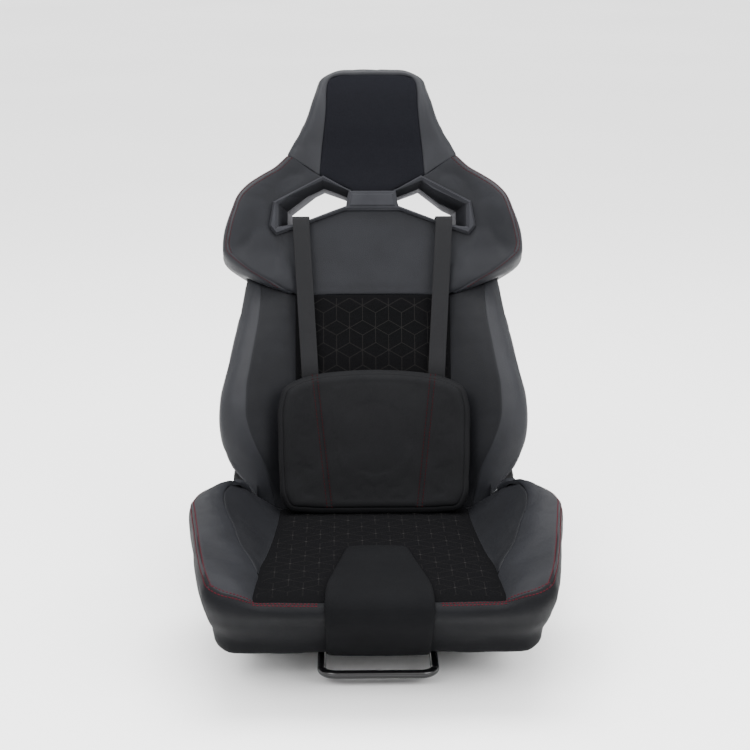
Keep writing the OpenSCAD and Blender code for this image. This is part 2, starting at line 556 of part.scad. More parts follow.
module lumbar_pillow() {
  h = pillow_w / 2;
  color([0.08, 0.08, 0.09]) back_frame() intersection() {
    through([[-h + 12, -27], [h - 12, -27], [h - 2, 30], [h, 100], [h - 1, 160], [h - 8, 176], [h - 36, 188], [70, 197], [0, 201], [-70, 197], [-h + 36, 188],
      [-h + 8, 176], [-h + 1, 160], [-h, 100], [-h + 2, 30]], 30, 100);
    translate([0, 0, -60]) linear_extrude(300) polygon([[-118, -50], [118, -50], [h, -74], [h + 1, -84], [h - 6, -50 - pillow_t * 0.85], [90, -50 - pillow_t], [-90, -50 - pillow_t],
      [-h + 6, -50 - pillow_t * 0.85], [-h - 1, -84], [-h, -74]]);
    rotate([90, 0, 90]) translate([0, 0, -200]) linear_extrude(400) polygon([[-48, -6], [-70, -15], [-90, -25], [-106, -18], [-112, 20], [-112, 170], [-98, 190], [-70, 201], [-48, 201]]);
  }
}

// ---------------------------------------------------------------- assembly

final_place() {
  lower_rail(-1);  // lower_rail_left
  lower_rail(1);  // lower_rail_right
  rail_end_caps();
  upper_rail(-1);  // upper_rail_left
  upper_rail(1);  // upper_rail_right
  rail_glides();
  rail_spacers();
  seat_bolts();
  seat_pan();
  cushion_centre();
  cushion_bolster(-1);  // cushion_bolster_left
  cushion_bolster(1);  // cushion_bolster_right
  cushion_front_apron();
  cushion_front_pad();
  recliner_base_bracket(-1);  // recliner_base_bracket_left
  recliner_base_bracket(1);  // recliner_base_bracket_right
  recliner_fixed_plate(-1);  // recliner_fixed_plate_left
  recliner_fixed_plate(1);  // recliner_fixed_plate_right
  recliner_spring(-1);  // recliner_spring_left
  recliner_spring(1);  // recliner_spring_right
  recliner_cover(-1);  // recliner_cover_left
  recliner_cover(1);  // recliner_cover_right
  towel_bar();
  towel_bar_pivots();
  rail_latch(-1);  // rail_latch_left
  rail_latch(1);  // rail_latch_right
  sync_shaft();
  lever_arm();
  lever_grip();
  recliner_back_bracket(-1);  // recliner_back_bracket_left
  recliner_back_bracket(1);  // recliner_back_bracket_right
  recliner_moving_plate(-1);  // recliner_moving_plate_left
  recliner_moving_plate(1);  // recliner_moving_plate_right
  backrest_frame();
  backrest_insert();
  backrest_bolster(-1);  // backrest_bolster_left
  backrest_bolster(1);  // backrest_bolster_right
  backrest_upper_pad();
  back_shell();
  back_shell_screws();
  harness_bezel_front();
  harness_bezel_rear();
  lumbar_strap(-1);  // lumbar_strap_left
  lumbar_strap(1);  // lumbar_strap_right
  strap_buckles();
  lumbar_pillow();
}
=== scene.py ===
import math

import bpy
import numpy as np
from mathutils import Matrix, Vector
from mathutils.bvhtree import BVHTree


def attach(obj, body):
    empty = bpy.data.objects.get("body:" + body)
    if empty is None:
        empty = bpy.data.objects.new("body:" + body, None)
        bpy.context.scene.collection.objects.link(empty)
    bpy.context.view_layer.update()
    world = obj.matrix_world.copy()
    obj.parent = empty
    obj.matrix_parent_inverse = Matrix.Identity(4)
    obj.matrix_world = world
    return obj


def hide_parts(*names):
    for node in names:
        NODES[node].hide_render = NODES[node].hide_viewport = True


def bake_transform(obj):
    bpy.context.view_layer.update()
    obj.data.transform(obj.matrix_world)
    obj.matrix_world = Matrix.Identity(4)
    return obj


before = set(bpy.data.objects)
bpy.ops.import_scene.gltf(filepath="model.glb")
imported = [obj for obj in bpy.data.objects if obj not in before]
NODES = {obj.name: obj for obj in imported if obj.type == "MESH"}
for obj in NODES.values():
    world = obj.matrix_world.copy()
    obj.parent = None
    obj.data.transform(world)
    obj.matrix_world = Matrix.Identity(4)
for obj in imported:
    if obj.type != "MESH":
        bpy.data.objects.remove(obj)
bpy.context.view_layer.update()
scene = bpy.context.scene

S20, C20 = math.sin(math.radians(20.0)), math.cos(math.radians(20.0))
OY, PY, PZ = 85.0, 200.0, 150.0


# ------------------------------------------------------------------ curves and tables
def _hermite(xs, ys, monotone):
    xs = np.asarray(xs, float)
    ys = np.asarray(ys, float)
    one = ys.ndim == 1
    if one:
        ys = ys[:, None]
    n = len(xs)
    h = np.diff(xs)
    d = np.diff(ys, axis=0) / h[:, None]
    m = np.zeros_like(ys)
    if n == 2:
        m[:] = d[0]
    else:
        if monotone:
            w1, w2 = (2 * h[1:] + h[:-1])[:, None], (h[1:] + 2 * h[:-1])[:, None]
            same = d[:-1] * d[1:] > 1e-12
            a, b = np.where(same, d[:-1], 1.0), np.where(same, d[1:], 1.0)
            m[1:-1] = np.where(same, (w1 + w2) / (w1 / a + w2 / b), 0.0)
        else:
            m[1:-1] = (d[:-1] * h[1:, None] + d[1:] * h[:-1, None]) / (h[:-1] + h[1:])[:, None]
        m[0], m[-1] = d[0], d[-1]

    def f(x):
        x = np.asarray(x, float)
        shape = x.shape
        x = np.clip(x.ravel(), xs[0], xs[-1])
        i = np.clip(np.searchsorted(xs, x, side="right") - 1, 0, n - 2)
        hh = h[i][:, None]
        t = (x - xs[i])[:, None] / hh
        y = (1 + 2 * t) * (1 - t) ** 2 * ys[i] + t * (1 - t) ** 2 * hh * m[i] + t * t * (3 - 2 * t) * ys[i + 1] + t * t * (t - 1) * hh * m[i + 1]
        y = y.reshape(shape + (ys.shape[1],))
        return y[..., 0] if one else y

    return f


def table(*pairs):
    return _hermite([p[0] for p in pairs], [p[1] for p in pairs], True)


def lin(*pairs):
    xs, ys = [p[0] for p in pairs], [p[1] for p in pairs]
    return lambda v: np.interp(v, xs, ys)


def sm(t):
    c = np.clip(t, 0, 1)
    return c * c * (3 - 2 * c)


def lerp(a, b, t):
    return a + (b - a) * t


def curve(points, closed=False):
    """Smooth curve through points, by fraction of its length."""
    p = np.asarray(points, float)
    if closed:
        q = np.concatenate([p[-3:], p, p[:3]])
        k = np.concatenate([[0], np.cumsum(np.linalg.norm(np.diff(q, axis=0), axis=1))])
        f = _hermite(k, q, False)
        k0, k1 = k[3], k[3 + len(p)]
        return lambda t: f(k0 + (k1 - k0) * np.asarray(t, float))
    k = np.concatenate([[0], np.cumsum(np.linalg.norm(np.diff(p, axis=0), axis=1))])
    f = _hermite(k / k[-1], p, False)
    return f


def B(x, u, w):
    """Backrest coordinates (across, up along it, forwards) to the working frame, in mm."""
    x, u, w = np.broadcast_arrays(np.asarray(x, float), np.asarray(u, float), np.asarray(w, float))
    return np.stack([x, PY + u * S20 - w * C20, PZ + u * C20 + w * S20], -1)


def m_(p):
    """Working frame in mm to the row frame in metres."""
    p = np.asarray(p, float).copy()
    p[..., 1] -= OY
    return p / 1000.0


# ------------------------------------------------------------------ shapes shared with the CAD part
mid_w = table((-40, 33), (-30, 34), (60, 42), (150, 46), (250, 42), (330, 40), (530, 40), (575, 44), (620, 54), (665, 58), (700, 52), (719, 38))
_rear = lin((-30, -40), (60, -45), (480, -45), (560, -37), (640, -24), (717, -4))
_wrap = lin((300, 40), (380, 60))


def rear_w(x, u):
    return _rear(u) + _wrap(u) * np.maximum(0, np.abs(x) - 150) ** 2 / 1e4


bol_x = table((-40, 184), (-30, 190), (0, 205), (20, 217), (38, 229), (65, 242), (94, 251), (124, 254), (152, 253), (203, 243), (260, 230), (330, 215), (370, 209))
crease_x = table((-40, 158), (-30, 160), (0, 166), (42, 176), (77, 192), (108, 204), (135, 209), (177, 208), (201, 204), (244, 197), (304, 188), (346, 186), (370, 186))
crease_w = table((-40, 36), (-30, 38), (0, 46), (20, 56), (42, 66), (77, 82), (108, 90), (135, 93), (177, 90), (201, 86), (244, 76), (304, 60), (346, 46), (370, 36))
outer_w = table((-40, 6), (-30, 10), (0, 34), (20, 48), (42, 52), (77, 58), (108, 62), (177, 60), (244, 48), (304, 36), (355, 24), (370, 20))
shell_x = lin((-15, 170), (50, 184), (62, 216), (84, 233), (124, 246), (155, 244), (203, 235), (260, 222), (330, 207), (358, 202), (376, 214), (395, 233), (412, 240),
              (449, 233), (490, 216), (514, 199), (532, 173), (548, 150), (572, 129), (610, 112), (650, 94), (684, 78), (700, 58))
top_z = table((-330, 166), (-300, 166), (75, 148), (150, 146))
edge_x = table((-330, 182), (-293, 182), (-178, 177), (-110, 168), (-7, 160), (75, 156), (150, 154))


# ------------------------------------------------------------------ materials
def _nodes(name):
    m = bpy.data.materials.new(name)
    m.use_nodes = True
    nt = m.node_tree
    nt.nodes.clear()
    out = nt.nodes.new("ShaderNodeOutputMaterial")
    bsdf = nt.nodes.new("ShaderNodeBsdfPrincipled")
    nt.links.new(bsdf.outputs[0], out.inputs[0])
    tc = nt.nodes.new("ShaderNodeTexCoord")
    return m, nt, bsdf, tc


def _noise(nt, vec, scale, detail=3.0, rough=0.55):
    n = nt.nodes.new("ShaderNodeTexNoise")
    n.inputs["Scale"].default_value = scale
    n.inputs["Detail"].default_value = detail
    n.inputs["Roughness"].default_value = rough
    nt.links.new(vec, n.inputs["Vector"])
    return n.outputs["Fac"]


def _ramp(nt, fac, a, b, lo=0.3, hi=0.7):
    r = nt.nodes.new("ShaderNodeValToRGB")
    r.color_ramp.elements[0].position = lo
    r.color_ramp.elements[1].position = hi
    r.color_ramp.elements[0].color = (*a, 1)
    r.color_ramp.elements[1].color = (*b, 1)
    nt.links.new(fac, r.inputs[0])
    return r.outputs[0]


def _span(nt, fac, lo, hi):
    r = nt.nodes.new("ShaderNodeMapRange")
    r.inputs["To Min"].default_value = lo
    r.inputs["To Max"].default_value = hi
    nt.links.new(fac, r.inputs["Value"])
    return r.outputs[0]


def _bump(nt, bsdf, height, strength, distance):
    b = nt.nodes.new("ShaderNodeBump")
    b.inputs["Strength"].default_value = strength
    b.inputs["Distance"].default_value = distance
    nt.links.new(height, b.inputs["Height"])
    nt.links.new(b.outputs[0], bsdf.inputs["Normal"])
    return b


def shade(c, k):
    return tuple(min(1.0, v * k) for v in c)


def leather(name, color, rough=0.52, grain=520.0, bump=0.35, vary=0.16, spec=0.35):
    m, nt, p, tc = _nodes(name)
    v = tc.outputs["Object"]
    vo = nt.nodes.new("ShaderNodeTexVoronoi")
    vo.feature = "DISTANCE_TO_EDGE"
    vo.inputs["Scale"].default_value = grain
    wv = nt.nodes.new("ShaderNodeVectorMath")
    wv.operation = "ADD"
    nz = nt.nodes.new("ShaderNodeTexNoise")
    nz.inputs["Scale"].default_value = grain * 0.4
    sc = nt.nodes.new("ShaderNodeVectorMath")
    sc.operation = "SCALE"
    sc.inputs["Scale"].default_value = 0.0016
    nt.links.new(v, nz.inputs["Vector"])
    nt.links.new(nz.outputs["Color"], sc.inputs[0])
    nt.links.new(v, wv.inputs[0])
    nt.links.new(sc.outputs[0], wv.inputs[1])
    nt.links.new(wv.outputs[0], vo.inputs["Vector"])
    cells = _span(nt, vo.outputs["Distance"], 0.0, 3.0)
    fine = _noise(nt, v, grain * 2.2, 2.0)
    mix = nt.nodes.new("ShaderNodeMath")
    mix.operation = "MULTIPLY_ADD"
    nt.links.new(fine, mix.inputs[0])
    mix.inputs[1].default_value = 0.35
    nt.links.new(cells, mix.inputs[2])
    _bump(nt, p, mix.outputs[0], bump, 0.00035)
    nt.links.new(_ramp(nt, _noise(nt, v, 14.0, 4.0), shade(color, 1 - vary), shade(color, 1 + vary)), p.inputs["Base Color"])
    nt.links.new(_span(nt, _noise(nt, v, 30.0, 3.0), rough - 0.06, rough + 0.07), p.inputs["Roughness"])
    p.inputs["Specular IOR Level"].default_value = spec
    return m


def suede(name, color, vary=0.5, sheen=0.25):
    m, nt, p, tc = _nodes(name)
    v = tc.outputs["Object"]
    nap = _noise(nt, v, 1600.0, 3.0, 0.7)
    nt.links.new(_ramp(nt, nap, shade(color, 1 - vary), shade(color, 1 + vary), 0.35, 0.65), p.inputs["Base Color"])
    _bump(nt, p, nap, 0.5, 0.0005)
    p.inputs["Roughness"].default_value = 0.95
    p.inputs["Specular IOR Level"].default_value = 0.0
    p.inputs["Sheen Weight"].default_value = sheen
    p.inputs["Sheen Roughness"].default_value = 0.5
    p.inputs["Sheen Tint"].default_value = (0.55, 0.56, 0.6, 1)
    return m


def plastic(name, color, rough=0.5, grain=900.0, bump=0.25, spec=0.4):
    m, nt, p, tc = _nodes(name)
    v = tc.outputs["Object"]
    g = _noise(nt, v, grain, 3.0, 0.6)
    _bump(nt, p, g, bump, 0.0003)
    nt.links.new(_ramp(nt, _noise(nt, v, 20.0, 4.0), shade(color, 0.88), shade(color, 1.14)), p.inputs["Base Color"])
    nt.links.new(_span(nt, _noise(nt, v, 45.0, 3.0), rough - 0.06, rough + 0.08), p.inputs["Roughness"])
    p.inputs["Specular IOR Level"].default_value = spec
    return m


def paint(name, color, rough=0.3, wear=0.0):
    m, nt, p, tc = _nodes(name)
    v = tc.outputs["Object"]
    peel = _noise(nt, v, 260.0, 2.0, 0.5)
    _bump(nt, p, peel, 0.12, 0.0004)
    base = _ramp(nt, _noise(nt, v, 12.0, 5.0), shade(color, 0.85), shade(color, 1.2))
    nt.links.new(base, p.inputs["Base Color"])
    nt.links.new(_span(nt, _noise(nt, v, 60.0, 4.0, 0.7), rough - 0.05, rough + 0.1 + wear), p.inputs["Roughness"])
    p.inputs["Specular IOR Level"].default_value = 0.5
    return m


def steel(name, color, rough=0.32, stretch=(1, 1, 30), scale=60.0):
    m, nt, p, tc = _nodes(name)
    mp = nt.nodes.new("ShaderNodeMapping")
    mp.inputs["Scale"].default_value = stretch
    nt.links.new(tc.outputs["Object"], mp.inputs[0])
    g = _noise(nt, mp.outputs[0], scale, 4.0, 0.6)
    _bump(nt, p, g, 0.1, 0.0002)
    nt.links.new(_ramp(nt, g, shade(color, 0.82), shade(color, 1.15)), p.inputs["Base Color"])
    nt.links.new(_span(nt, _noise(nt, tc.outputs["Object"], 35.0, 4.0), rough - 0.08, rough + 0.12), p.inputs["Roughness"])
    p.inputs["Metallic"].default_value = 1.0
    return m


def webbing(name, color):
    m, nt, p, tc = _nodes(name)
    w = nt.nodes.new("ShaderNodeTexWave")
    w.bands_direction = "X"
    w.inputs["Scale"].default_value = 300.0
    w.inputs["Distortion"].default_value = 0.6
    w.inputs["Detail"].default_value = 1.0
    nt.links.new(tc.outputs["Object"], w.inputs["Vector"])
    w2 = nt.nodes.new("ShaderNodeTexWave")
    w2.bands_direction = "Z"
    w2.inputs["Scale"].default_value = 220.0
    nt.links.new(tc.outputs["Object"], w2.inputs["Vector"])
    mul = nt.nodes.new("ShaderNodeMath")
    mul.operation = "MULTIPLY_ADD"
    nt.links.new(w2.outputs["Fac"], mul.inputs[0])
    mul.inputs[1].default_value = 0.4
    nt.links.new(w.outputs["Fac"], mul.inputs[2])
    _bump(nt, p, mul.outputs[0], 0.35, 0.0003)
    nt.links.new(_ramp(nt, w.outputs["Fac"], shade(color, 0.82), shade(color, 1.2), 0.1, 0.9), p.inputs["Base Color"])
    p.inputs["Roughness"].default_value = 0.85
    p.inputs["Specular IOR Level"].default_value = 0.1
    return m


def thread(name, color):
    m, nt, p, tc = _nodes(name)
    f = _noise(nt, tc.outputs["Object"], 2400.0, 2.0, 0.6)
    nt.links.new(_ramp(nt, f, shade(color, 0.65), shade(color, 1.35)), p.inputs["Base Color"])
    _bump(nt, p, f, 0.4, 0.0002)
    p.inputs["Roughness"].default_value = 0.8
    p.inputs["Specular IOR Level"].default_value = 0.0
    return m


LEATHER = (0.0112, 0.0117, 0.0140)
M = {
    "leatherette": leather("leatherette", LEATHER, 0.5, 520.0, 0.35, 0.12, 0.15),
    # darker copy of the same leatherette, for the yoke and the cushion bolster tops: painted shade
    "leatherette_painted_shade": leather("leatherette_painted_shade", shade(LEATHER, 0.80), 0.54, 520.0, 0.35, 0.12, 0.10),
    # darker leatherette for the inner walls of the bolsters: partly a darker leather, partly painted shade in the
    # recess beside the insert
    "leatherette_dark_and_painted_shade": leather("leatherette_dark_and_painted_shade", shade(LEATHER, 0.55), 0.58, 520.0, 0.35, 0.12, 0.10),
    # same leatherette made much darker on the forward-facing apron of the cushion: painted shade, where less light
    # falls
    "leatherette_apron_painted_shade": leather("leatherette_apron_painted_shade", shade(LEATHER, 0.36), 0.62, 520.0, 0.35, 0.12, 0.06),
    "pad_leatherette": leather("pad_leatherette", (0.0044, 0.0045, 0.0050), 0.8, 560.0, 0.3, 0.1, 0.02),
    "pillow_leatherette": leather("pillow_leatherette", (0.0050, 0.0051, 0.0057), 0.78, 620.0, 0.35, 0.12, 0.06),
    # lighter copy of the black suede for the headrest centre: painted light on the top of the seat
    "suede_head_painted_light": suede("suede_head_painted_light", (0.0066, 0.0068, 0.0084), 0.45, 0.006),
    "suede": suede("suede", (0.0034, 0.0034, 0.0037), 0.45, 0.006),
    "pattern": suede("suede_print", (0.0100, 0.0096, 0.0094), 0.3, 0.01),
    "pattern_seat": suede("suede_print_seat", (0.0068, 0.0065, 0.0065), 0.3, 0.01),
    "pattern_dot": suede("suede_print_dot", (0.0135, 0.0130, 0.0128), 0.3, 0.01),
    # light grey on the rear bezel sleeve: painted reflection of the white backdrop on black plastic seen at a grazing
    # angle
    "bezel_painted_reflection": plastic("bezel_painted_reflection", (0.16, 0.16, 0.17), 0.6, 1200.0, 0.12, 0.0),
    "black_plastic": plastic("black_plastic", (0.0085, 0.0085, 0.0095), 0.5),
    "shell_plastic": plastic("shell_plastic", (0.0075, 0.0077, 0.0088), 0.48, 600.0, 0.4),
    # black bezel plastic made lighter than the other black plastic, with no specular: partly its own colour, partly
    # painted highlight on the bevels
    "bezel_plastic": plastic("bezel_plastic", (0.0230, 0.0235, 0.0265), 0.6, 1200.0, 0.12, 0.0),
    "nylon": plastic("nylon", (0.42, 0.40, 0.34), 0.45),
    "zinc_steel": steel("zinc_steel", (0.40, 0.41, 0.43), 0.3),
    "recliner_steel": steel("recliner_steel", (0.28, 0.29, 0.30), 0.34, (30, 1, 1)),
    "spring_steel": steel("spring_steel", (0.12, 0.12, 0.13), 0.4),
    "rail_black": paint("rail_black", (0.010, 0.0104, 0.0115), 0.38, 0.1),
    "pan_paint": paint("pan_paint", (0.0095, 0.0098, 0.011), 0.5, 0.05),
    "frame_paint": paint("frame_paint", (0.022, 0.022, 0.024), 0.45, 0.05),
    "bar_gloss_black": paint("bar_gloss_black", (0.0035, 0.0035, 0.004), 0.14),
    "screw_black": paint("screw_black", (0.007, 0.007, 0.008), 0.34),
    "webbing": webbing("webbing", (0.0085, 0.0086, 0.0094)),
    "thread_red": thread("thread_red", (0.030, 0.0042, 0.0055)),
    "thread_dark": thread("thread_dark", (0.024, 0.0035, 0.0048)),
    "thread_seat": thread("thread_seat", (0.050, 0.0065, 0.0105)),
}

SLOTS = {
    "rail_black": ["lower_rail_left", "lower_rail_right", "lever_arm"],
    "black_plastic": ["rail_end_caps", "recliner_cover_left", "recliner_cover_right", "lever_grip", "strap_buckles"],
    "zinc_steel": ["upper_rail_left", "upper_rail_right", "rail_spacers", "seat_bolts", "recliner_base_bracket_left", "recliner_base_bracket_right",
                   "towel_bar_pivots", "rail_latch_left", "rail_latch_right", "recliner_back_bracket_left", "recliner_back_bracket_right"],
    "nylon": ["rail_glides"],
    "pan_paint": ["seat_pan"],
    "recliner_steel": ["recliner_fixed_plate_left", "recliner_fixed_plate_right", "sync_shaft", "recliner_moving_plate_left", "recliner_moving_plate_right"],
    "spring_steel": ["recliner_spring_left", "recliner_spring_right"],
    "bar_gloss_black": ["towel_bar"],
    "frame_paint": ["backrest_frame"],
    "shell_plastic": ["back_shell"],
    "screw_black": ["back_shell_screws"],
    "bezel_plastic": ["harness_bezel_front"],
    "bezel_painted_reflection": ["harness_bezel_rear"],
}
for slot_name, names in SLOTS.items():
    for n in names:
        o = NODES[n]
        o.data.materials.clear()
        o.data.materials.append(M[slot_name])
        for poly in o.data.polygons:
            poly.use_smooth = True
        o.data.set_sharp_from_angle(angle=math.radians(55 if n == "back_shell" else 32))


# ------------------------------------------------------------------ mesh helpers
def make(name, verts, faces, mat, body=None, smooth=True, angle=55):
    me = bpy.data.meshes.new(name)
    me.from_pydata([tuple(map(float, v)) for v in verts], [], [tuple(int(i) for i in f) for f in faces])
    me.validate()
    me.update()
    me.materials.append(mat)
    if smooth:
        for p in me.polygons:
            p.use_smooth = True
        if angle:
            me.set_sharp_from_angle(angle=math.radians(angle))
    o = bpy.data.objects.new(name, me)
    scene.collection.objects.link(o)
    if body:
        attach(o, body)
    return o


def resampler(G, monotone=False):
    """Smooth surface through a coarse table of points, by fractions (rows s, columns t)."""
    G = np.asarray(G, float)
    m, n, _ = G.shape
    kt = np.concatenate([[0], np.cumsum(np.linalg.norm(np.diff(G, axis=1), axis=2).mean(0))])
    ks = np.concatenate([[0], np.cumsum(np.linalg.norm(np.diff(G, axis=0), axis=2).mean(1))])
    kt, ks = kt / kt[-1], ks / ks[-1]
    ft = _hermite(kt, G.transpose(1, 0, 2).reshape(n, m * 3), monotone)

    def surf(s, t):
        s, t = np.asarray(s, float), np.asarray(t, float)
        A = ft(t).reshape(len(t), m, 3).transpose(1, 0, 2).reshape(m, len(t) * 3)
        return _hermite(ks, A, monotone)(s).reshape(len(s), len(t), 3)

    return surf


def params(L, step, r0, r1):
    a = [0, 0.05, 0.14, 0.28, 0.48, 0.72, 1.0]
    lo = [k * r0 for k in a] if r0 else [0.0]
    hi = [L - k * r1 for k in a[::-1]] if r1 else [L]
    if hi[0] <= lo[-1] + 1:
        return np.linspace(0, 1, 14)
    n = max(1, math.ceil((hi[0] - lo[-1]) / step))
    mid = list(np.linspace(lo[-1], hi[0], n + 1)[1:-1])
    return np.array(lo + mid + hi) / L


def normals(P, out):
    ds, dt = np.gradient(P, axis=0), np.gradient(P, axis=1)
    N = np.cross(ds, dt)
    N /= np.maximum(1e-9, np.linalg.norm(N, axis=2))[..., None]
    if callable(out):
        out = out(P)
    if (N * np.asarray(out, float)).sum(2).mean() < 0:
        N = -N
    return N


def blur(N, n=2):
    for _ in range(n):
        A = np.pad(N, ((1, 1), (1, 1), (0, 0)), mode="edge")
        N = (A[1:-1, 1:-1] * 2 + A[:-2, 1:-1] + A[2:, 1:-1] + A[1:-1, :-2] + A[1:-1, 2:]) / 6
        N /= np.maximum(1e-9, np.linalg.norm(N, axis=2))[..., None]
    return N


class Panel:
    pass


def panel(name, surf, out, mat, body, roll=(9, 9, 9, 9), drop=(3.5, 3.5, 3.5, 3.5), thick=9.0, step=8.0, bulge=None, mask=None, nodes=()):
    q = surf(np.linspace(0, 1, 21), np.linspace(0, 1, 21))
    Ls = np.linalg.norm(np.diff(q, axis=0), axis=2).sum(0).mean()
    Lt = np.linalg.norm(np.diff(q, axis=1), axis=2).sum(1).mean()
    s, t = params(Ls, step, roll[0], roll[1]), params(Lt, step, roll[2], roll[3])
    P = surf(s, t)
    N = normals(P, out)
    cs = np.concatenate([np.zeros((1, P.shape[1])), np.cumsum(np.linalg.norm(np.diff(P, axis=0), axis=2), axis=0)])
    ct = np.concatenate([np.zeros((P.shape[0], 1)), np.cumsum(np.linalg.norm(np.diff(P, axis=1), axis=2), axis=1)], axis=1)
    dist = [cs, cs[-1:] - cs, ct, ct[:, -1:] - ct]
    F = P.copy()
    edge = np.full(P.shape[:2], 1e9)
    for d, R, D in zip(dist, roll, drop):
        if R:
            x = np.clip(d / R, 0, 1)
            F -= N * (D * (1 - np.sqrt(np.maximum(0, 1 - (1 - x) ** 2))))[..., None]
            edge = np.minimum(edge, d)
    if bulge is not None:
        F += N * bulge(s[:, None], t[None, :], P)[..., None]
    K = P - blur(N, 3) * thick
    m, n = P.shape[:2]
    keep = np.ones((m - 1, n - 1), bool)
    if mask is not None:
        c = (P[:-1, :-1] + P[1:, :-1] + P[:-1, 1:] + P[1:, 1:]) / 4
        keep = mask(c)
    idx = np.arange(m * n).reshape(m, n)
    i, j = np.nonzero(keep)
    quads = np.stack([idx[i, j], idx[i, j + 1], idx[i + 1, j + 1], idx[i + 1, j]], 1)
    fn = np.cross(P[1:, :-1][i, j] - P[:-1, :-1][i, j], P[:-1, 1:][i, j] - P[:-1, :-1][i, j])
    if (fn * N[:-1, :-1][i, j]).sum() > 0:
        quads = quads[:, ::-1]
    seen = {}
    for f in quads.tolist():
        for a, b in zip(f, f[1:] + f[:1]):
            seen[(a, b)] = seen.get((a, b), 0) + 1
    o = m * n
    faces = quads.tolist() + (quads[:, ::-1] + o).tolist()
    for (a, b) in seen:
        if (b, a) not in seen:
            faces.append([b, a, a + o, b + o])
    V = np.concatenate([F.reshape(-1, 3), K.reshape(-1, 3)])
    used = np.unique(np.array([v for f in faces for v in f]))
    new = np.full(len(V), -1)
    new[used] = np.arange(len(used))
    faces = [[new[v] for v in f] for f in faces]
    ob = make(name, m_(V[used]), faces, mat, None, True, 62)
    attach(ob, body)
    if nodes:
        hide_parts(*nodes)
    pn = Panel()
    pn.obj, pn.F, pn.N, pn.P, pn.dist, pn.body, pn.front, pn.used, pn.edge = ob, F, N, P, dist, body, o, used, edge
    return pn


def settle(pn, pressure=3.0, shrink=-0.01, cap=4.0, soft=14.0, frames=14, stiff=12.0):
    """Cloth: the face of a panel is inflated off its backing; its seams and backing stay where they are."""
    ob = pn.obj
    n = len(ob.data.vertices)
    flat_edge = pn.edge.reshape(-1)
    pin = np.ones(n)
    for k, v in enumerate(pn.used):
        if v < pn.front:
            pin[k] = 1.0 - sm((flat_edge[v] - 3.0) / soft)
    vg = ob.vertex_groups.new(name="pin")
    for w in np.unique(np.round(pin, 2)):
        vg.add([int(i) for i in np.nonzero(np.round(pin, 2) == w)[0]], float(w), "REPLACE")
    md = ob.modifiers.new("cloth", "CLOTH")
    c = md.settings
    c.quality = 6
    c.mass = 0.25
    c.tension_stiffness = c.compression_stiffness = stiff
    c.shear_stiffness = stiff * 0.6
    c.bending_stiffness = 0.4
    c.shrink_min = shrink
    c.use_pressure = True
    c.uniform_pressure_force = pressure
    c.vertex_group_mass = "pin"
    c.pin_stiffness = 1.0
    c.effector_weights.gravity = 0.0
    md.collision_settings.use_collision = False
    md.point_cache.frame_start, md.point_cache.frame_end = 1, frames
    for f in range(1, frames + 1):
        scene.frame_set(f)
    ev = ob.evaluated_get(bpy.context.evaluated_depsgraph_get())
    co = np.empty(n * 3, np.float32)
    ev.data.vertices.foreach_get("co", co)
    rest = np.empty(n * 3, np.float32)
    ob.data.vertices.foreach_get("co", rest)
    co, rest = co.reshape(-1, 3).astype(float), rest.reshape(-1, 3).astype(float)
    ob.modifiers.remove(md)
    ob.vertex_groups.clear()
    scene.frame_set(1)
    d = co - rest
    d[~np.isfinite(d).all(1)] = 0
    L = np.linalg.norm(d, axis=1)
    lim = cap / 1000.0
    k = np.where(L > 1e-9, lim * np.tanh(L / lim) / np.maximum(L, 1e-9), 0)
    new = rest + d * (k * (1 - pin))[:, None]
    ob.data.vertices.foreach_set("co", new.astype(np.float32).ravel())
    ob.data.update()


def edge_line(pn, e, dist):
    """Points and normals on a panel, at a distance in from one of its edges: 0, 1 rows' start and end, 2, 3 columns' start and end."""
    A, Nn, d = pn.F, pn.N, pn.dist[e]
    if e < 2:
        A, Nn, d = A.transpose(1, 0, 2), Nn.transpose(1, 0, 2), d.T
    if e in (1, 3):
        A, Nn, d = A[:, ::-1], Nn[:, ::-1], d[:, ::-1]
    P = np.array([[np.interp(dist, d[i], A[i, :, k]) for k in range(3)] for i in range(len(A))])
    Q = np.array([[np.interp(dist, d[i], Nn[i, :, k]) for k in range(3)] for i in range(len(A))])
    return P, Q / np.linalg.norm(Q, axis=1)[:, None]


def tree(ob):
    dg = bpy.context.evaluated_depsgraph_get()
    return BVHTree.FromObject(ob, dg)


def project(tr, P, N, reach=14.0):
    """Drops points (working mm) along their normals onto a mesh."""
    out = P.copy()
    for i in range(len(P)):
        a = Vector(m_(P[i] + N[i] * reach))
        hit = tr.ray_cast(a, -Vector(N[i]), 2.2 * reach / 1000)
        if hit[0] is not None:
            h = np.array(hit[0]) * 1000
            h[1] += OY
            out[i] = h
    return out


def _place(name, template, tf, C, X, Y, Z, mat, body, angle=60):
    """Copies of a template at centres C with axes X, Y, Z."""
    k = len(template)
    V = C[:, None] + template[None, :, 0:1] * X[:, None] + template[None, :, 1:2] * Y[:, None] + template[None, :, 2:3] * Z[:, None]
    F = (np.arange(len(C))[:, None] * k)
    faces = []
    for f in tf:
        faces.extend((F + np.array(f)[None]).tolist())
    return make(name, m_(V.reshape(-1, 3)), faces, mat, body, True, angle)


def resample_line(P, N, pitch, start=0.0, end=0.0):
    L = np.concatenate([[0], np.cumsum(np.linalg.norm(np.diff(P, axis=0), axis=1))])
    n = max(2, int((L[-1] - start - end) / pitch))
    c = start + (np.arange(n) + 0.5) * (L[-1] - start - end) / n
    f = lambda A, q: np.stack([np.interp(q, L, A[:, k]) for k in range(3)], 1)
    C, Nn = f(P, c), f(N, c)
    T = f(P, c + 0.8) - f(P, c - 0.8)
    T /= np.maximum(1e-9, np.linalg.norm(T, axis=1))[:, None]
    Nn -= (Nn * T).sum(1)[:, None] * T
    Nn /= np.linalg.norm(Nn, axis=1)[:, None]
    return C, T, Nn


RINGS = [(-1.0, 0.25), (-0.82, 0.85), (-0.4, 1.0), (0.4, 1.0), (0.82, 0.85), (1.0, 0.25)]


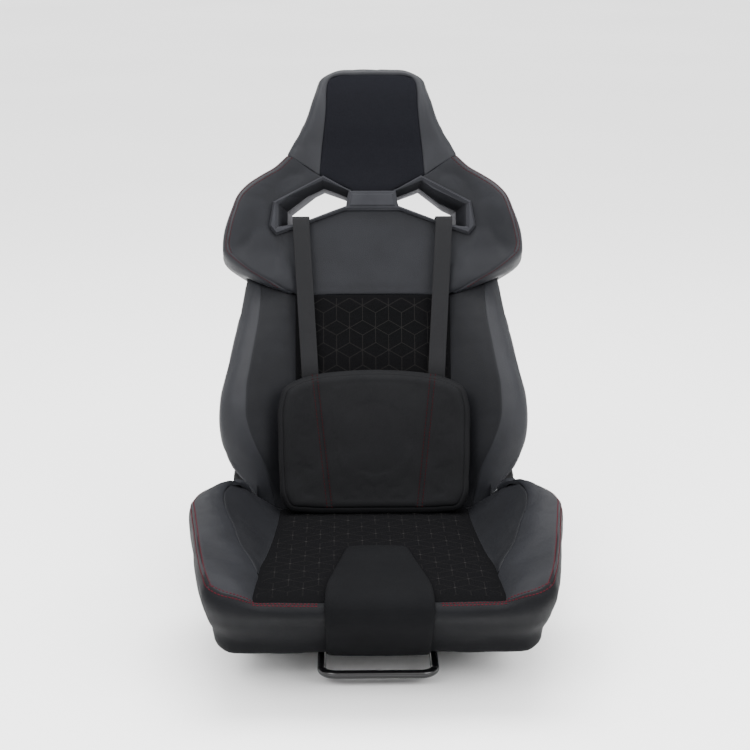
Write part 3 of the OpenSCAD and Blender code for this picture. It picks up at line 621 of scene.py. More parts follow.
def stitches(name, lines, mat, body, pitch=5.2, length=4.1, r=0.55, lift=0.1):
    """Rows of thread stitches; lines is a list of (tree, points, normals)."""
    tpl, k = [], 6
    for a, q in RINGS:
        for i in range(k):
            an = 2 * math.pi * i / k
            tpl.append((a * length / 2, q * r * math.cos(an), q * r * math.sin(an) - (0.35 * r if abs(a) > 0.8 else 0)))
    tf = []
    for s in range(len(RINGS) - 1):
        for i in range(k):
            tf.append([s * k + i, s * k + (i + 1) % k, (s + 1) * k + (i + 1) % k, (s + 1) * k + i])
    tf.append(list(range(k))[::-1])
    tf.append([(len(RINGS) - 1) * k + i for i in range(k)])
    Cs, Ts, Ns = [], [], []
    for tr, P, N in lines:
        C, T, Nn = resample_line(P, N, pitch)
        if tr is not None:
            C = project(tr, C, Nn)
        Cs.append(C + Nn * lift)
        Ts.append(T)
        Ns.append(Nn)
    C, T, Nn = np.concatenate(Cs), np.concatenate(Ts), np.concatenate(Ns)
    tf4 = [f for f in tf if len(f) == 4]
    tf6 = [f for f in tf if len(f) != 4]
    tpl = np.array(tpl)
    kk = len(tpl)
    V = C[:, None] + tpl[None, :, 0:1] * T[:, None] + tpl[None, :, 1:2] * np.cross(Nn, T)[:, None] + tpl[None, :, 2:3] * Nn[:, None]
    base = np.arange(len(C))[:, None] * kk
    faces = []
    for f in tf4 + tf6:
        faces.extend((base + np.array(f)[None]).tolist())
    return make(name, m_(V.reshape(-1, 3)), faces, mat, body, True, 60)


def ribbons(name, tr, segments, at, inside, mat, body, width=0.9, lift=0.12, depth=0.5, dots=(), dot_r=1.3):
    """Thin raised lines of print on a cloth; at(a, b) gives a point and a normal of the surface under it."""
    V, F = [], []
    for p, q in segments:
        L = math.hypot(q[0] - p[0], q[1] - p[1])
        n = 6
        run = []
        for i in range(n + 1):
            a, b = lerp(p[0], q[0], i / n), lerp(p[1], q[1], i / n)
            if inside(a, b):
                run.append((a, b))
        if len(run) < 2:
            continue
        pts = np.array([at(a, b)[0] for a, b in run])
        ns = np.array([at(a, b)[1] for a, b in run])
        pts = project(tr, pts, ns)
        T = np.gradient(pts, axis=0)
        T /= np.linalg.norm(T, axis=1)[:, None]
        side = np.cross(ns, T)
        side /= np.linalg.norm(side, axis=1)[:, None]
        o = len(V)
        for k in range(len(pts)):
            for a, b in ((-0.5, 1), (0.5, 1), (0.5, 0), (-0.5, 0)):
                V.append(pts[k] + side[k] * a * width + ns[k] * (lift if b else -depth))
        for k in range(len(pts) - 1):
            for c in range(4):
                F.append([o + 4 * k + c, o + 4 * k + (c + 1) % 4, o + 4 * k + 4 + (c + 1) % 4, o + 4 * k + 4 + c])
        F.append([o + 3, o + 2, o + 1, o])
        e = o + 4 * (len(pts) - 1)
        F.append([e, e + 1, e + 2, e + 3])
    for a, b in dots:
        if not inside(a, b):
            continue
        p, nn = at(a, b)
        p = project(tr, np.array([p]), np.array([nn]))[0]
        X = np.cross(nn, [0.0, 0.3, 1.0])
        X /= np.linalg.norm(X)
        Y = np.cross(nn, X)
        o = len(V)
        for h, r in ((-depth, dot_r), (lift * 1.2, dot_r), (lift * 1.6, dot_r * 0.6)):
            for i in range(8):
                an = math.pi * i / 4
                V.append(p + nn * h + X * r * math.cos(an) + Y * r * math.sin(an))
        for s in range(2):
            for i in range(8):
                F.append([o + 8 * s + i, o + 8 * s + (i + 1) % 8, o + 8 * s + 8 + (i + 1) % 8, o + 8 * s + 8 + i])
        F.append([o + i for i in range(8)][::-1])
        F.append([o + 16 + i for i in range(8)])
    return make(name, m_(np.array(V)), F, mat, body, False, None)


def cube_lattice(a0, a1, b0, b1, a=43.3, oa=0.0, ob=0.0):
    """Edges and six-way points of a pattern of stacked cubes."""
    seg, dots = [], []
    h = a * math.sqrt(3) / 2
    for j in range(int((b0 - ob) / h) - 2, int((b1 - ob) / h) + 3):
        for i in range(int((a0 - oa) / a) - 3, int((a1 - oa) / a) + 4):
            x = oa + a * (i + (0.5 if j % 2 else 0.0))
            y = ob + h * j
            dots.append((x, y))
            up = (x + a / 2, y + h / 3)
            for c in ((x, y), (x + a, y), (x + a / 2, y + h)):
                seg.append((up, c))
            dn = (x + a / 2, y - h / 3)
            for c in ((x, y), (x + a, y), (x + a / 2, y - h)):
                seg.append((dn, c))
    return seg, dots


def sides(f):
    for s, n in ((-1, "left"), (1, "right")):
        f(s, n)


def sx(P, s):
    P = np.asarray(P, float).copy()
    P[..., 0] *= s
    return P


# ------------------------------------------------------------------ backrest
FWD = (0.0, -C20, S20)
PATTERN = []


def insert_surf(s, t):
    u = (-32 + s * 364.5)[:, None] + 0 * t[None]
    x = (-128.8 + t * 257.6)[None] + 0 * s[:, None]
    return B(x, u, mid_w(u) + 1.5 * (1 - (x / 129) ** 2))


insert = panel("backrest_insert_cover", insert_surf, FWD, M["suede"], "backrest", roll=(8, 6, 6, 6), drop=(3, 1.8, 1.6, 1.6), thick=12, step=7, nodes=["backrest_insert"])


def inner_surf(side):
    def f(s, t):
        S, T = s[:, None] + 0 * t[None], t[None] + 0 * s[:, None]
        top = 333 + 19 * T
        u = -30 + S * (top + 30)
        a = mid_w(u) - 3.0
        x = lerp(126.0, crease_x(u), T)
        w = lerp(a, crease_w(u), T ** 1.28) + 2.0 * np.sin(math.pi * T)
        return sx(B(x, u, w), side)
    return f


def outer_surf(side):
    u0 = np.array([-30, -24, 6, 44, 53, 58, 62.0])
    u1 = np.array([352, 358, 363, 367, 366, 362, 358.0])
    rows = np.concatenate([[0, 0.03, 0.07], np.linspace(0.12, 1, 15)])
    G = []
    for v in rows:
        u = lerp(u0, u1, v)
        c, cw, o, ow = crease_x(u), crease_w(u), bol_x(u), outer_w(u)
        e = shell_x(u) - 3.0
        r = rear_w(e, u) + 0.3
        G.append(B(
            [c[0], lerp(c, o, 0.45)[1], lerp(c, o, 0.85)[2], o[3], o[4] - 0.4, lerp(o, e, 0.4)[5], e[6]], u,
            [cw[0], lerp(cw, ow, 0.18)[1] + 1.5, lerp(cw, ow, 0.6)[2] + 1.5, ow[3], lerp(ow, r, 0.3)[4], lerp(ow, r, 0.68)[5], r[6]]))
    return resampler(sx(np.array(G), side))


lower = {}


def lower_bolster(s, n):
    a = panel("backrest_bolster_inner_cover_" + n, inner_surf(s), (-0.5 * s, -C20, S20), M["leatherette_dark_and_painted_shade"], "backrest",
              roll=(8, 8, 5, 6), drop=(3, 3, 0.5, 1.6), thick=10, step=7)
    b = panel("backrest_bolster_outer_cover_" + n, outer_surf(s), (0.9 * s, -0.6, 0), M["leatherette"], "backrest",
              roll=(8, 8, 6, 0), drop=(3, 3, 1.6, 0), thick=9, step=7, nodes=["backrest_bolster_" + n])
    lower[n] = (a, b)


sides(lower_bolster)

# upper pad: yoke between the shoulders, shoulder rims, headrest centre and headrest sides
C_LINE = [(134, 334, 44), (160, 347, 60), (177, 357, 70), (200, 370, 79), (220, 385, 85), (235, 398, 88), (239, 411, 88), (237, 431, 87), (228, 470, 80), (218, 498, 68),
          (203, 515, 58), (178, 533, 50), (157, 546, 47), (136, 566, 46)]
xC = table(*[(p[1], p[0]) for p in C_LINE])
wC = table(*[(p[1], p[2]) for p in C_LINE])
rise_from = table((330, 90), (345, 98), (390, 128), (430, 152), (447, 160), (489, 158), (530, 130), (552, 100), (575, 80))


def yoke_w(x, u):
    x = np.abs(x)
    f = rise_from(u)
    k = np.clip((x - f) / np.maximum(4, xC(u) - f), 0, 1)
    return mid_w(u) + (wC(u) - mid_w(u)) * lerp(k ** 1.45, sm(k), 0.25)


def yoke_surf():
    bottom = curve([(0, 333.4), (64, 333.4), (128, 333.4), (140, 336.5), (160, 347), (177, 357), (200, 370), (220, 385), (235, 398)])
    right = curve([(235, 398), (239, 411), (237, 431), (228, 470), (218, 498), (203, 515), (178, 533), (157, 546), (136, 566)])
    top = curve([(0, 500), (20, 501), (33, 505), (40, 511), (58, 519), (80, 529.5), (88, 534), (110, 549), (136, 566)])

    def half(s, t):
        S, T = s[:, None, None], t[None, :, None]
        b, r, p = bottom(t)[None], right(s)[:, None], top(t)[None]
        l = np.stack([0 * s, lerp(333.4, 500.0, s)], 1)[:, None]
        c00, c01, c10, c11 = np.array([0, 333.4]), np.array([235.0, 398]), np.array([0, 500.0]), np.array([136.0, 566])
        return (1 - S) * b + S * p + (1 - T) * l + T * r - ((1 - S) * (1 - T) * c00 + (1 - S) * T * c01 + S * (1 - T) * c10 + S * T * c11)

    def f(s, t):
        t2 = 2 * t - 1
        P = half(s, np.abs(t2))
        x, u = P[..., 0] * np.sign(t2)[None], P[..., 1]
        return B(x, u, yoke_w(x, u))
    return f


SLOT_FRONT = np.array([(158, 484), (83, 525), (39, 507), (44, 481), (129, 449), (158, 446)], float)
HALF = [(36, 507), (82, 533), (166, 489), (173, 447), (161, 432), (46, 474)]


def in_poly(x, u, poly, grow=0.0):
    ok = np.ones(np.shape(x), bool)
    n = len(poly)
    cx, cu = poly[:, 0].mean(), poly[:, 1].mean()
    for i in range(n):
        a, b = poly[i], poly[(i + 1) % n]
        nx, nu = b[1] - a[1], a[0] - b[0]
        L = math.hypot(nx, nu)
        nx, nu = nx / L, nu / L
        if (cx - a[0]) * nx + (cu - a[1]) * nu > 0:
            nx, nu = -nx, -nu
        ok &= (x - a[0]) * nx + (u - a[1]) * nu < grow
    return ok


def to_local(P):
    y, z = P[..., 1] - PY, P[..., 2] - PZ
    return P[..., 0], y * S20 + z * C20, -y * C20 + z * S20


def yoke_mask(c):
    x, u, w = to_local(c)
    return ~in_poly(np.abs(x), u, SLOT_FRONT, 4.6)


yoke = panel("backrest_yoke_cover", yoke_surf(), FWD, M["leatherette_painted_shade"], "backrest", roll=(7, 4, 8, 8), drop=(2, 1.2, 2.4, 2.4), thick=10, step=4.2, mask=yoke_mask,
             nodes=["backrest_upper_pad"])


def R_(x, u, w=None, d=0.3):
    return (x, u, float(rear_w(x, u)) + d if w is None else w)


RIM = [
    [(134, 334, 44), (136, 334, 43), (138, 334.5, 42), (140, 335, 41), (142, 335.5, 40)],
    [(155, 345, 58), (158, 343, 57), (161, 342, 53), (163, 341.5, 48), (164, 342, 44)],
    [(177, 357, 70), (181, 355, 68), (186, 353, 62), (188, 351, 54), (188, 351, 47)],
    [(200, 370, 79), (205, 368, 77), (210, 365, 68), (211, 361, 56), (208, 360, 42)],
    [(220, 385, 85), (227, 382, 83), (232, 376, 68), (226, 367, 40), (212, 363, 10)],
    [(235, 398, 88), (243, 396, 84), (247, 392, 62), (241, 380, 20), (210, 364, -30)],
    [(239, 411, 88), (246, 410, 82), (248, 408, 60), (246, 402, 10), R_(236, 398)],
    [(237, 431, 87), (244, 431, 80), (246.5, 431, 58), (244, 430, 8), R_(237, 428)],
    [(228, 470, 80), (233, 471, 73), (235, 471, 52), (232, 470, 5), R_(223, 468)],
    [(218, 498, 68), (222, 500, 62), (224, 500, 44), (221, 499, 3), R_(211, 496)],
    [(203, 515, 58), (208, 517, 53), (209.5, 517, 38), (206, 515, 0), R_(200, 511)],
    [(178, 533, 50), (183, 535, 46), (185.5, 536, 32), (182, 534, -3), R_(174, 530)],
    [(157, 546, 47), (162, 548, 43), (164, 549, 30), (161, 547, -3), R_(152, 545)],
    [(136, 566, 46), (140.5, 568, 42), (142.5, 569, 30), (139.5, 568.5, -2), R_(130.5, 567.5)],
]
HEAD = [
    [(88, 534, 40), (113, 551, 43), (138, 566, 46), (142.5, 568.5, 30), R_(131, 567)],
    [(84, 576, 44), (109, 583, 50), (128, 588, 47), (131.5, 588, 29), R_(122.5, 587)],
    [(79, 618, 54), (99, 621, 58), (110.5, 624, 52), (114.5, 624, 33), R_(106, 621)],
    [(76, 652, 57.5), (90, 656, 61), (98.5, 659, 54), (101.5, 659, 35), R_(92, 656)],
    [(75, 676, 55.5), (85.5, 679, 57), (91, 681, 50), (94, 681, 33), R_(84, 677)],
    [(72.5, 690, 53.5), (79, 693.5, 54), (84.5, 696, 48), (87, 697, 33), R_(75, 690)],
    [(66, 698.5, 52), (68.5, 702.5, 52), (71, 705.5, 46), (72.5, 707, 32), R_(60, 697)],
    [(56, 702, 51.5), (57, 707, 51), (58, 711, 44.5), (59, 712.5, 30), R_(50, 699.5)],
    [(30, 702.7, 51.3), (30, 708.5, 50.5), (30, 713.4, 44.5), (30, 714.8, 30), R_(28, 700.5)],
]
rims, heads = {}, {}


def upper_sides(s, n):
    G = np.array([[B(*p[:2], p[2]) for p in row] for row in RIM])
    rims[n] = panel("backrest_shoulder_cover_" + n, resampler(sx(G, s)), lambda P: np.stack([np.full(P.shape[:2], s * 0.8), np.full(P.shape[:2], -0.7), np.full(P.shape[:2], 0.25)], -1),
                    M["leatherette"], "backrest", roll=(0, 4, 7, 0), drop=(0, 1.2, 2.2, 0), thick=7, step=6)


sides(upper_sides)
HL = [[(-p[0], p[1], p[2]) for p in row] for row in HEAD]
HT = [[(0, 702.9, 51.3), (0, 709, 50.5), (0, 714, 44.5), (0, 715.5, 30), R_(0, 700.5)]]
HG = np.array([[B(*p[:2], p[2]) for p in row] for row in HEAD + HT + HL[::-1]])
head_side = panel("headrest_side_cover", resampler(HG), lambda P: np.stack([P[..., 0] * 0.01, np.full(P.shape[:2], -0.8), (P[..., 2] - 720) * 0.006], -1),
                  M["leatherette"], "backrest", roll=(4, 4, 5, 0), drop=(1.2, 1.2, 1.5, 0), thick=8, step=6)


def head_surf(s, t):
    hx = table((500, 88), (534, 88), (576, 84), (610, 80), (652, 76.3), (678, 75), (690, 73.4), (698, 68), (703, 60))
    bot = lin((0, 501), (30, 503), (38, 510.4), (58, 519), (80, 529.3), (88, 534))
    t2 = 2 * t - 1
    S = s[:, None] + 0 * t[None]
    X0 = np.abs(t2)[None] + 0 * S
    u0 = bot(X0 * 88)
    top = 703.0 - 8 * np.clip((X0 - 0.8) / 0.2, 0, 1) ** 2
    u = lerp(u0, top, S)
    return B(np.sign(t2)[None] * X0 * hx(u), u, mid_w(u) + 2.0 * (1 - X0 ** 2) * sm((u - 540) / 50))


head_centre = panel("headrest_centre_cover", head_surf, FWD, M["suede_head_painted_light"], "backrest", roll=(7, 5, 5, 5), drop=(2.5, 1.5, 1.5, 1.5), thick=12, step=6, mask=lambda c: ~in_poly(np.abs(to_local(c)[0]), to_local(c)[1], SLOT_FRONT, 3.6))


# underside of the backrest
def back_under():
    rows = []
    t = np.linspace(0, 1, 24)
    ob = to_local(outer_surf(1)(np.array([0.0]), t)[0])
    ia = to_local(inner_surf(1)(np.array([0.0]), np.array([0.0, 0.5, 1.0]))[0])
    line = list(zip(*[q.tolist() for q in ob]))
    line.append((182.0, 51.0, -44.0))
    for x, u, w in line:
        X = min(x, 192.5) - 0.5
        b = -29.0 if w > -40 else -16.0
        u = max(u, b + 3)
        rows.append([(0, b, w), (X * 0.5, b, w), (X - 1.5, b, w), (X, b + 1.2, w), (X + 0.2, lerp(b + 1.2, u - 1.2, 0.5), w), (X + 0.4, u - 1.2, w), (lerp(X + 0.4, x, 0.5), u - 0.4, w), (x - 0.2, u, w)])
    G = np.array([[B(*p[:2], p[2]) for p in r] for r in rows])
    G = np.concatenate([sx(G[:, ::-1], -1)[:, :-1], G], axis=1)
    front = [0]
    m, n = G.shape[:2]
    N = normals(G, (0, 0.0, -1.0))
    K = G.copy()
    K[..., 2] += 3.0
    K[..., 1] += 1.0
    idx = np.arange(m * n).reshape(m, n)
    faces = []
    for i in range(m - 1):
        for j in range(n - 1):
            faces.append([idx[i, j], idx[i, j + 1], idx[i + 1, j + 1], idx[i + 1, j]])
            faces.append([idx[i, j] + m * n, idx[i + 1, j] + m * n, idx[i + 1, j + 1] + m * n, idx[i, j + 1] + m * n])
    ring = [idx[0, j] for j in range(n)] + [idx[i, n - 1] for i in range(1, m)] + [idx[m - 1, j] for j in range(n - 2, -1, -1)] + [idx[i, 0] for i in range(m - 2, 0, -1)]
    for a, b in zip(ring, ring[1:] + ring[:1]):
        faces.append([b, a, a + m * n, b + m * n])
    return make("backrest_under_cover", m_(np.concatenate([G.reshape(-1, 3), K.reshape(-1, 3)])), faces, M["shell_plastic"], "backrest", True, 40)


back_under()

# ------------------------------------------------------------------ cushion
UP = (0, 0, 1.0)


def centre_surf(s, t):
    y = (-313 + s * 458)[:, None] + 0 * t[None]
    k = (2 * t - 1)[None] + 0 * s[:, None]
    x = k * (edge_x(y) - 0.2)
    z = top_z(y) + 3.2 * (1 - k * k) * sm((150 - y) / 120) - 2.5 * sm((-296 - y) / 17)
    return np.stack([x, y, z], -1)


centre = panel("cushion_centre_cover", centre_surf, UP, M["suede"], "seat_base", roll=(7, 8, 6, 6), drop=(2.5, 3, 1.6, 1.6), thick=12, step=7, nodes=["cushion_centre"])

CREASE = [(179, -198, 168), (183, -182, 173.5), (188, -170, 178), (203, -143, 190), (217, -91, 203), (231, -42, 214), (236, 11, 218), (228, 60, 216), (216, 95, 203), (204, 118, 186)]
crease_fx = table(*[(p[1], p[0]) for p in CREASE])
crease_fz = table(*[(p[1], p[2]) for p in CREASE])


def cinner_surf(side):
    def f(s, t):
        S, T = s[:, None] + 0 * t[None], t[None] + 0 * s[:, None]
        y0 = -200.0
        y1 = lerp(145.0, 118.0, T)
        y = lerp(y0, y1, S)
        a = top_z(y) - 3.5
        xc, zc = crease_fx(y), crease_fz(y)
        xe = edge_x(y) - 5.0
        x = lerp(xe, np.maximum(xc, xe + 3), T)
        z = lerp(a, np.maximum(zc, a + 1), T ** 1.25) + 3.0 * np.sin(math.pi * T)
        return sx(np.stack([x, y, z], -1), side)
    return f


SEAM = [(179, -315, 168.5), (202, -325, 181), (223, -328, 188), (238, -323, 195), (248, -293, 202), (260, -227, 209), (272, -140, 216), (280, -77, 220), (284, -33, 220), (278, -5, 220),
        (262, 25, 219), (243, 50, 217), (226, 72, 211), (214, 100, 198)]


def ctop_surf(side):
    inner = curve([(176.5, -313, 163), (176.5, -290, 163), (174.5, -240, 163), (173.5, -212, 163.5), (182.5, -182, 172.8), (203, -143, 190), (217, -91, 203), (231, -42, 214), (236, 11, 218), (228, 60, 216), (216, 95, 203), (204, 118, 186)])
    outer = curve(SEAM[3:])
    front = curve([(176.5, -313, 163), (184, -316, 169.5), (201, -323, 179), (222, -325, 187), (238, -323, 195)])
    rear = curve([(204, 118, 186), (209, 110, 192), (214, 100, 198)])

    def f(s, t):
        S, T = s[:, None, None], t[None, :, None]
        a, b, l, r = inner(s)[:, None], outer(s)[:, None], front(t)[None], rear(t)[None]
        c00, c01, c10, c11 = inner(0.0), outer(0.0), inner(1.0), outer(1.0)
        P = (1 - T) * a + T * b + (1 - S) * l + S * r - ((1 - S) * (1 - T) * c00 + (1 - S) * T * c01 + S * (1 - T) * c10 + S * T * c11)
        k = 4 * t * (1 - t)
        P[..., 2] += 6.5 * (k * np.minimum(1, 4.5 * 1))[None] * (sm(s / 0.10) * sm((1 - s) / 0.12))[:, None]
        return sx(P, side)
    return f


BOX = [
    [(179, -315, 168.5), (180, -330, 163), (178, -297, 122), (175, -245, 77), (172, -224, 49.5)],
    [(202, -325, 181), (204, -334, 170), (202, -300, 124), (199, -247, 78), (198, -227, 51)],
    [(223, -328, 188), (228, -334, 176), (225, -298, 126), (222, -245, 82), (219, -227, 53)],
    [(238, -323, 195), (244, -324, 182), (241, -290, 130), (236, -237, 86), (229, -219, 57)],
    [(248, -293, 202), (254, -290, 188), (251, -262, 136), (243, -217, 90), (233, -199, 61)],
    [(260, -227, 209), (265, -224, 195), (262, -205, 145), (247, -180, 93), (233, -168, 61)],
    [(272, -140, 216), (276, -138, 202), (271, -130, 150), (250, -118, 93), (228, -112, 60)],
    [(280, -77, 220), (284, -76, 206), (277, -74, 150), (251, -70, 93), (227, -68, 58)],
    [(284, -33, 220), (287, -32, 206), (278, -30, 150), (250, -28, 93), (226, -26, 56)],
    [(278, -5, 220), (281, -3, 205), (271, 0, 150), (247, 2, 92), (226, 4, 55)],
    [(262, 25, 219), (265, 29, 204), (256, 34, 150), (240, 36, 92), (223, 38, 56)],
    [(243, 50, 217), (246, 56, 202), (240, 62, 150), (231, 66, 92), (221, 68, 56)],
    [(226, 72, 211), (229, 80, 197), (226, 88, 150), (223, 92, 92), (219, 94, 56)],
    [(214, 100, 198), (216, 106, 185), (215, 112, 150), (215, 116, 92), (214, 118, 56)],
]
FRONT = [
    [(0, -314, 166), (0, -329, 159), (0, -297, 122), (0, -244, 73), (0, -224, 50)],
    [(78, -314, 166), (79, -329, 159), (79, -297, 122), (78, -244, 73), (77, -224, 50)],
    [(143, -314, 167), (144, -329, 160), (143, -297, 122), (141, -246, 75), (139, -225, 49.4)],
]


def tuck(row):
    """Adds the fold under the lower edge."""
    a, b = np.array(row[-2], float), np.array(row[-1], float)
    k = np.array([min(b[0] - 1, max(210.0, b[0] - 26)) if b[0] > 200 else b[0] * 0.985, -209.0 if b[1] < -215 else (b[1] + 7 if b[1] < -195 else b[1]), b[2] - 1.2])
    return list(row) + [tuple(k)]


half_rows = [tuck(r) for r in FRONT + BOX]
ALL = [[(-p[0], p[1], p[2]) for p in r] for r in half_rows[::-1]] + half_rows[1:]
boxing = panel("cushion_boxing_cover", resampler(np.array(ALL)), lambda P: np.stack([P[..., 0] * 0.01, (P[..., 1] - 0) * 0.01, 0 * P[..., 0]], -1), M["leatherette_apron_painted_shade"], "seat_base",
               roll=(0, 0, 9, 8), drop=(0, 0, 3, 3), thick=8, step=7.5, nodes=["cushion_front_apron"])

cushion = {}


def cushion_side(s, n):
    a = panel("cushion_bolster_inner_cover_" + n, cinner_surf(s), (-0.7 * s, -0.1, 1.0), M["leatherette_dark_and_painted_shade"], "seat_base", roll=(0, 7, 5, 6), drop=(0, 2, 0.5, 1.5), thick=9, step=7)
    b = panel("cushion_bolster_top_cover_" + n, ctop_surf(s), (0.2 * s, -0.1, 1.0), M["leatherette_painted_shade"], "seat_base", roll=(7, 6, 6, 8), drop=(2.5, 2, 1.5, 2.6), thick=8, step=7,
              nodes=["cushion_bolster_" + n])
    cushion[n] = (a, b)


sides(cushion_side)


def skirt_surf():
    top = [(0, 145, 147), (80, 145, 147), (152, 145, 146), (168, 139, 152), (186, 130, 166.5), (204, 119, 187), (210, 110, 192), (214, 101, 197)]
    rows = []
    for x, y, z in top:
        rows.append([(x, y, z), (x, y + 2, lerp(53, z, 0.8)), (x, y + 2, lerp(53, z, 0.45)), (x, y - 1, 58), (x, y - 10, 53)])
    R = [[(-p[0], p[1], p[2]) for p in r] for r in rows[::-1]] + rows[1:]
    return resampler(np.array(R))


skirt = panel("cushion_rear_cover", skirt_surf(), (0, 1.0, 0), M["shell_plastic"], "seat_base", roll=(0, 0, 7, 0), drop=(0, 0, 3, 0), thick=6, step=9)

# raised pad over the front edge
PAD = [(-84, 160), (-92, 166.5), (-106, 169.5), (-150, 172), (-219, 174.5), (-285, 178.5), (-308, 178), (-326, 172.5), (-336, 160), (-333, 145), (-306, 111), (-262, 70), (-243, 54), (-230, 50.6)]
PADW = table((0, 45), (10, 46.5), (66, 55.5), (135, 68), (180, 74.5), (205, 76.5), (260, 78), (300, 77.5), (400, 77), (470, 76))


def pad_surf():
    c = curve([(0, *p) for p in PAD])
    L = np.linalg.norm(np.diff(np.array(PAD, float), axis=0), axis=1).sum()

    def f(s, t):
        p = c(s)
        d = c(np.clip(s + 0.004, 0, 1)) - c(np.clip(s - 0.004, 0, 1))
        d /= np.linalg.norm(d, axis=1)[:, None]
        nrm = np.stack([0 * s, -d[:, 2] * -1, d[:, 1] * -1], 1)
        k = 2 * t - 1
        h = PADW(s * L)
        P = p[:, None] + np.zeros((1, len(t), 1))
        P[..., 0] = h[:, None] * k[None]
        return P + nrm[:, None] * (1.6 * (1 - k ** 2))[None, :, None]
    return f


pad = panel("cushion_front_pad_cover", pad_surf(), lambda P: np.stack([0 * P[..., 0], np.full(P.shape[:2], -0.6), np.full(P.shape[:2], 0.8)], -1), M["pad_leatherette"], "seat_base",
            roll=(8, 0, 8, 8), drop=(5, 0, 6, 6), thick=9, step=7, nodes=["cushion_front_pad"])

# ------------------------------------------------------------------ pillow
FRONT_OUT = curve([(0, 201.5), (50, 199.5), (95, 194), (128, 184), (146, 172), (153.5, 150), (155, 90), (153, 30), (149, -8), (138, -25), (110, -29.5), (50, -31), (0, -31),
                   (-50, -31), (-110, -29.5), (-138, -25), (-149, -8), (-153, 30), (-155, 90), (-153.5, 150), (-146, 172), (-128, 184), (-95, 194), (-50, 199.5)], True)


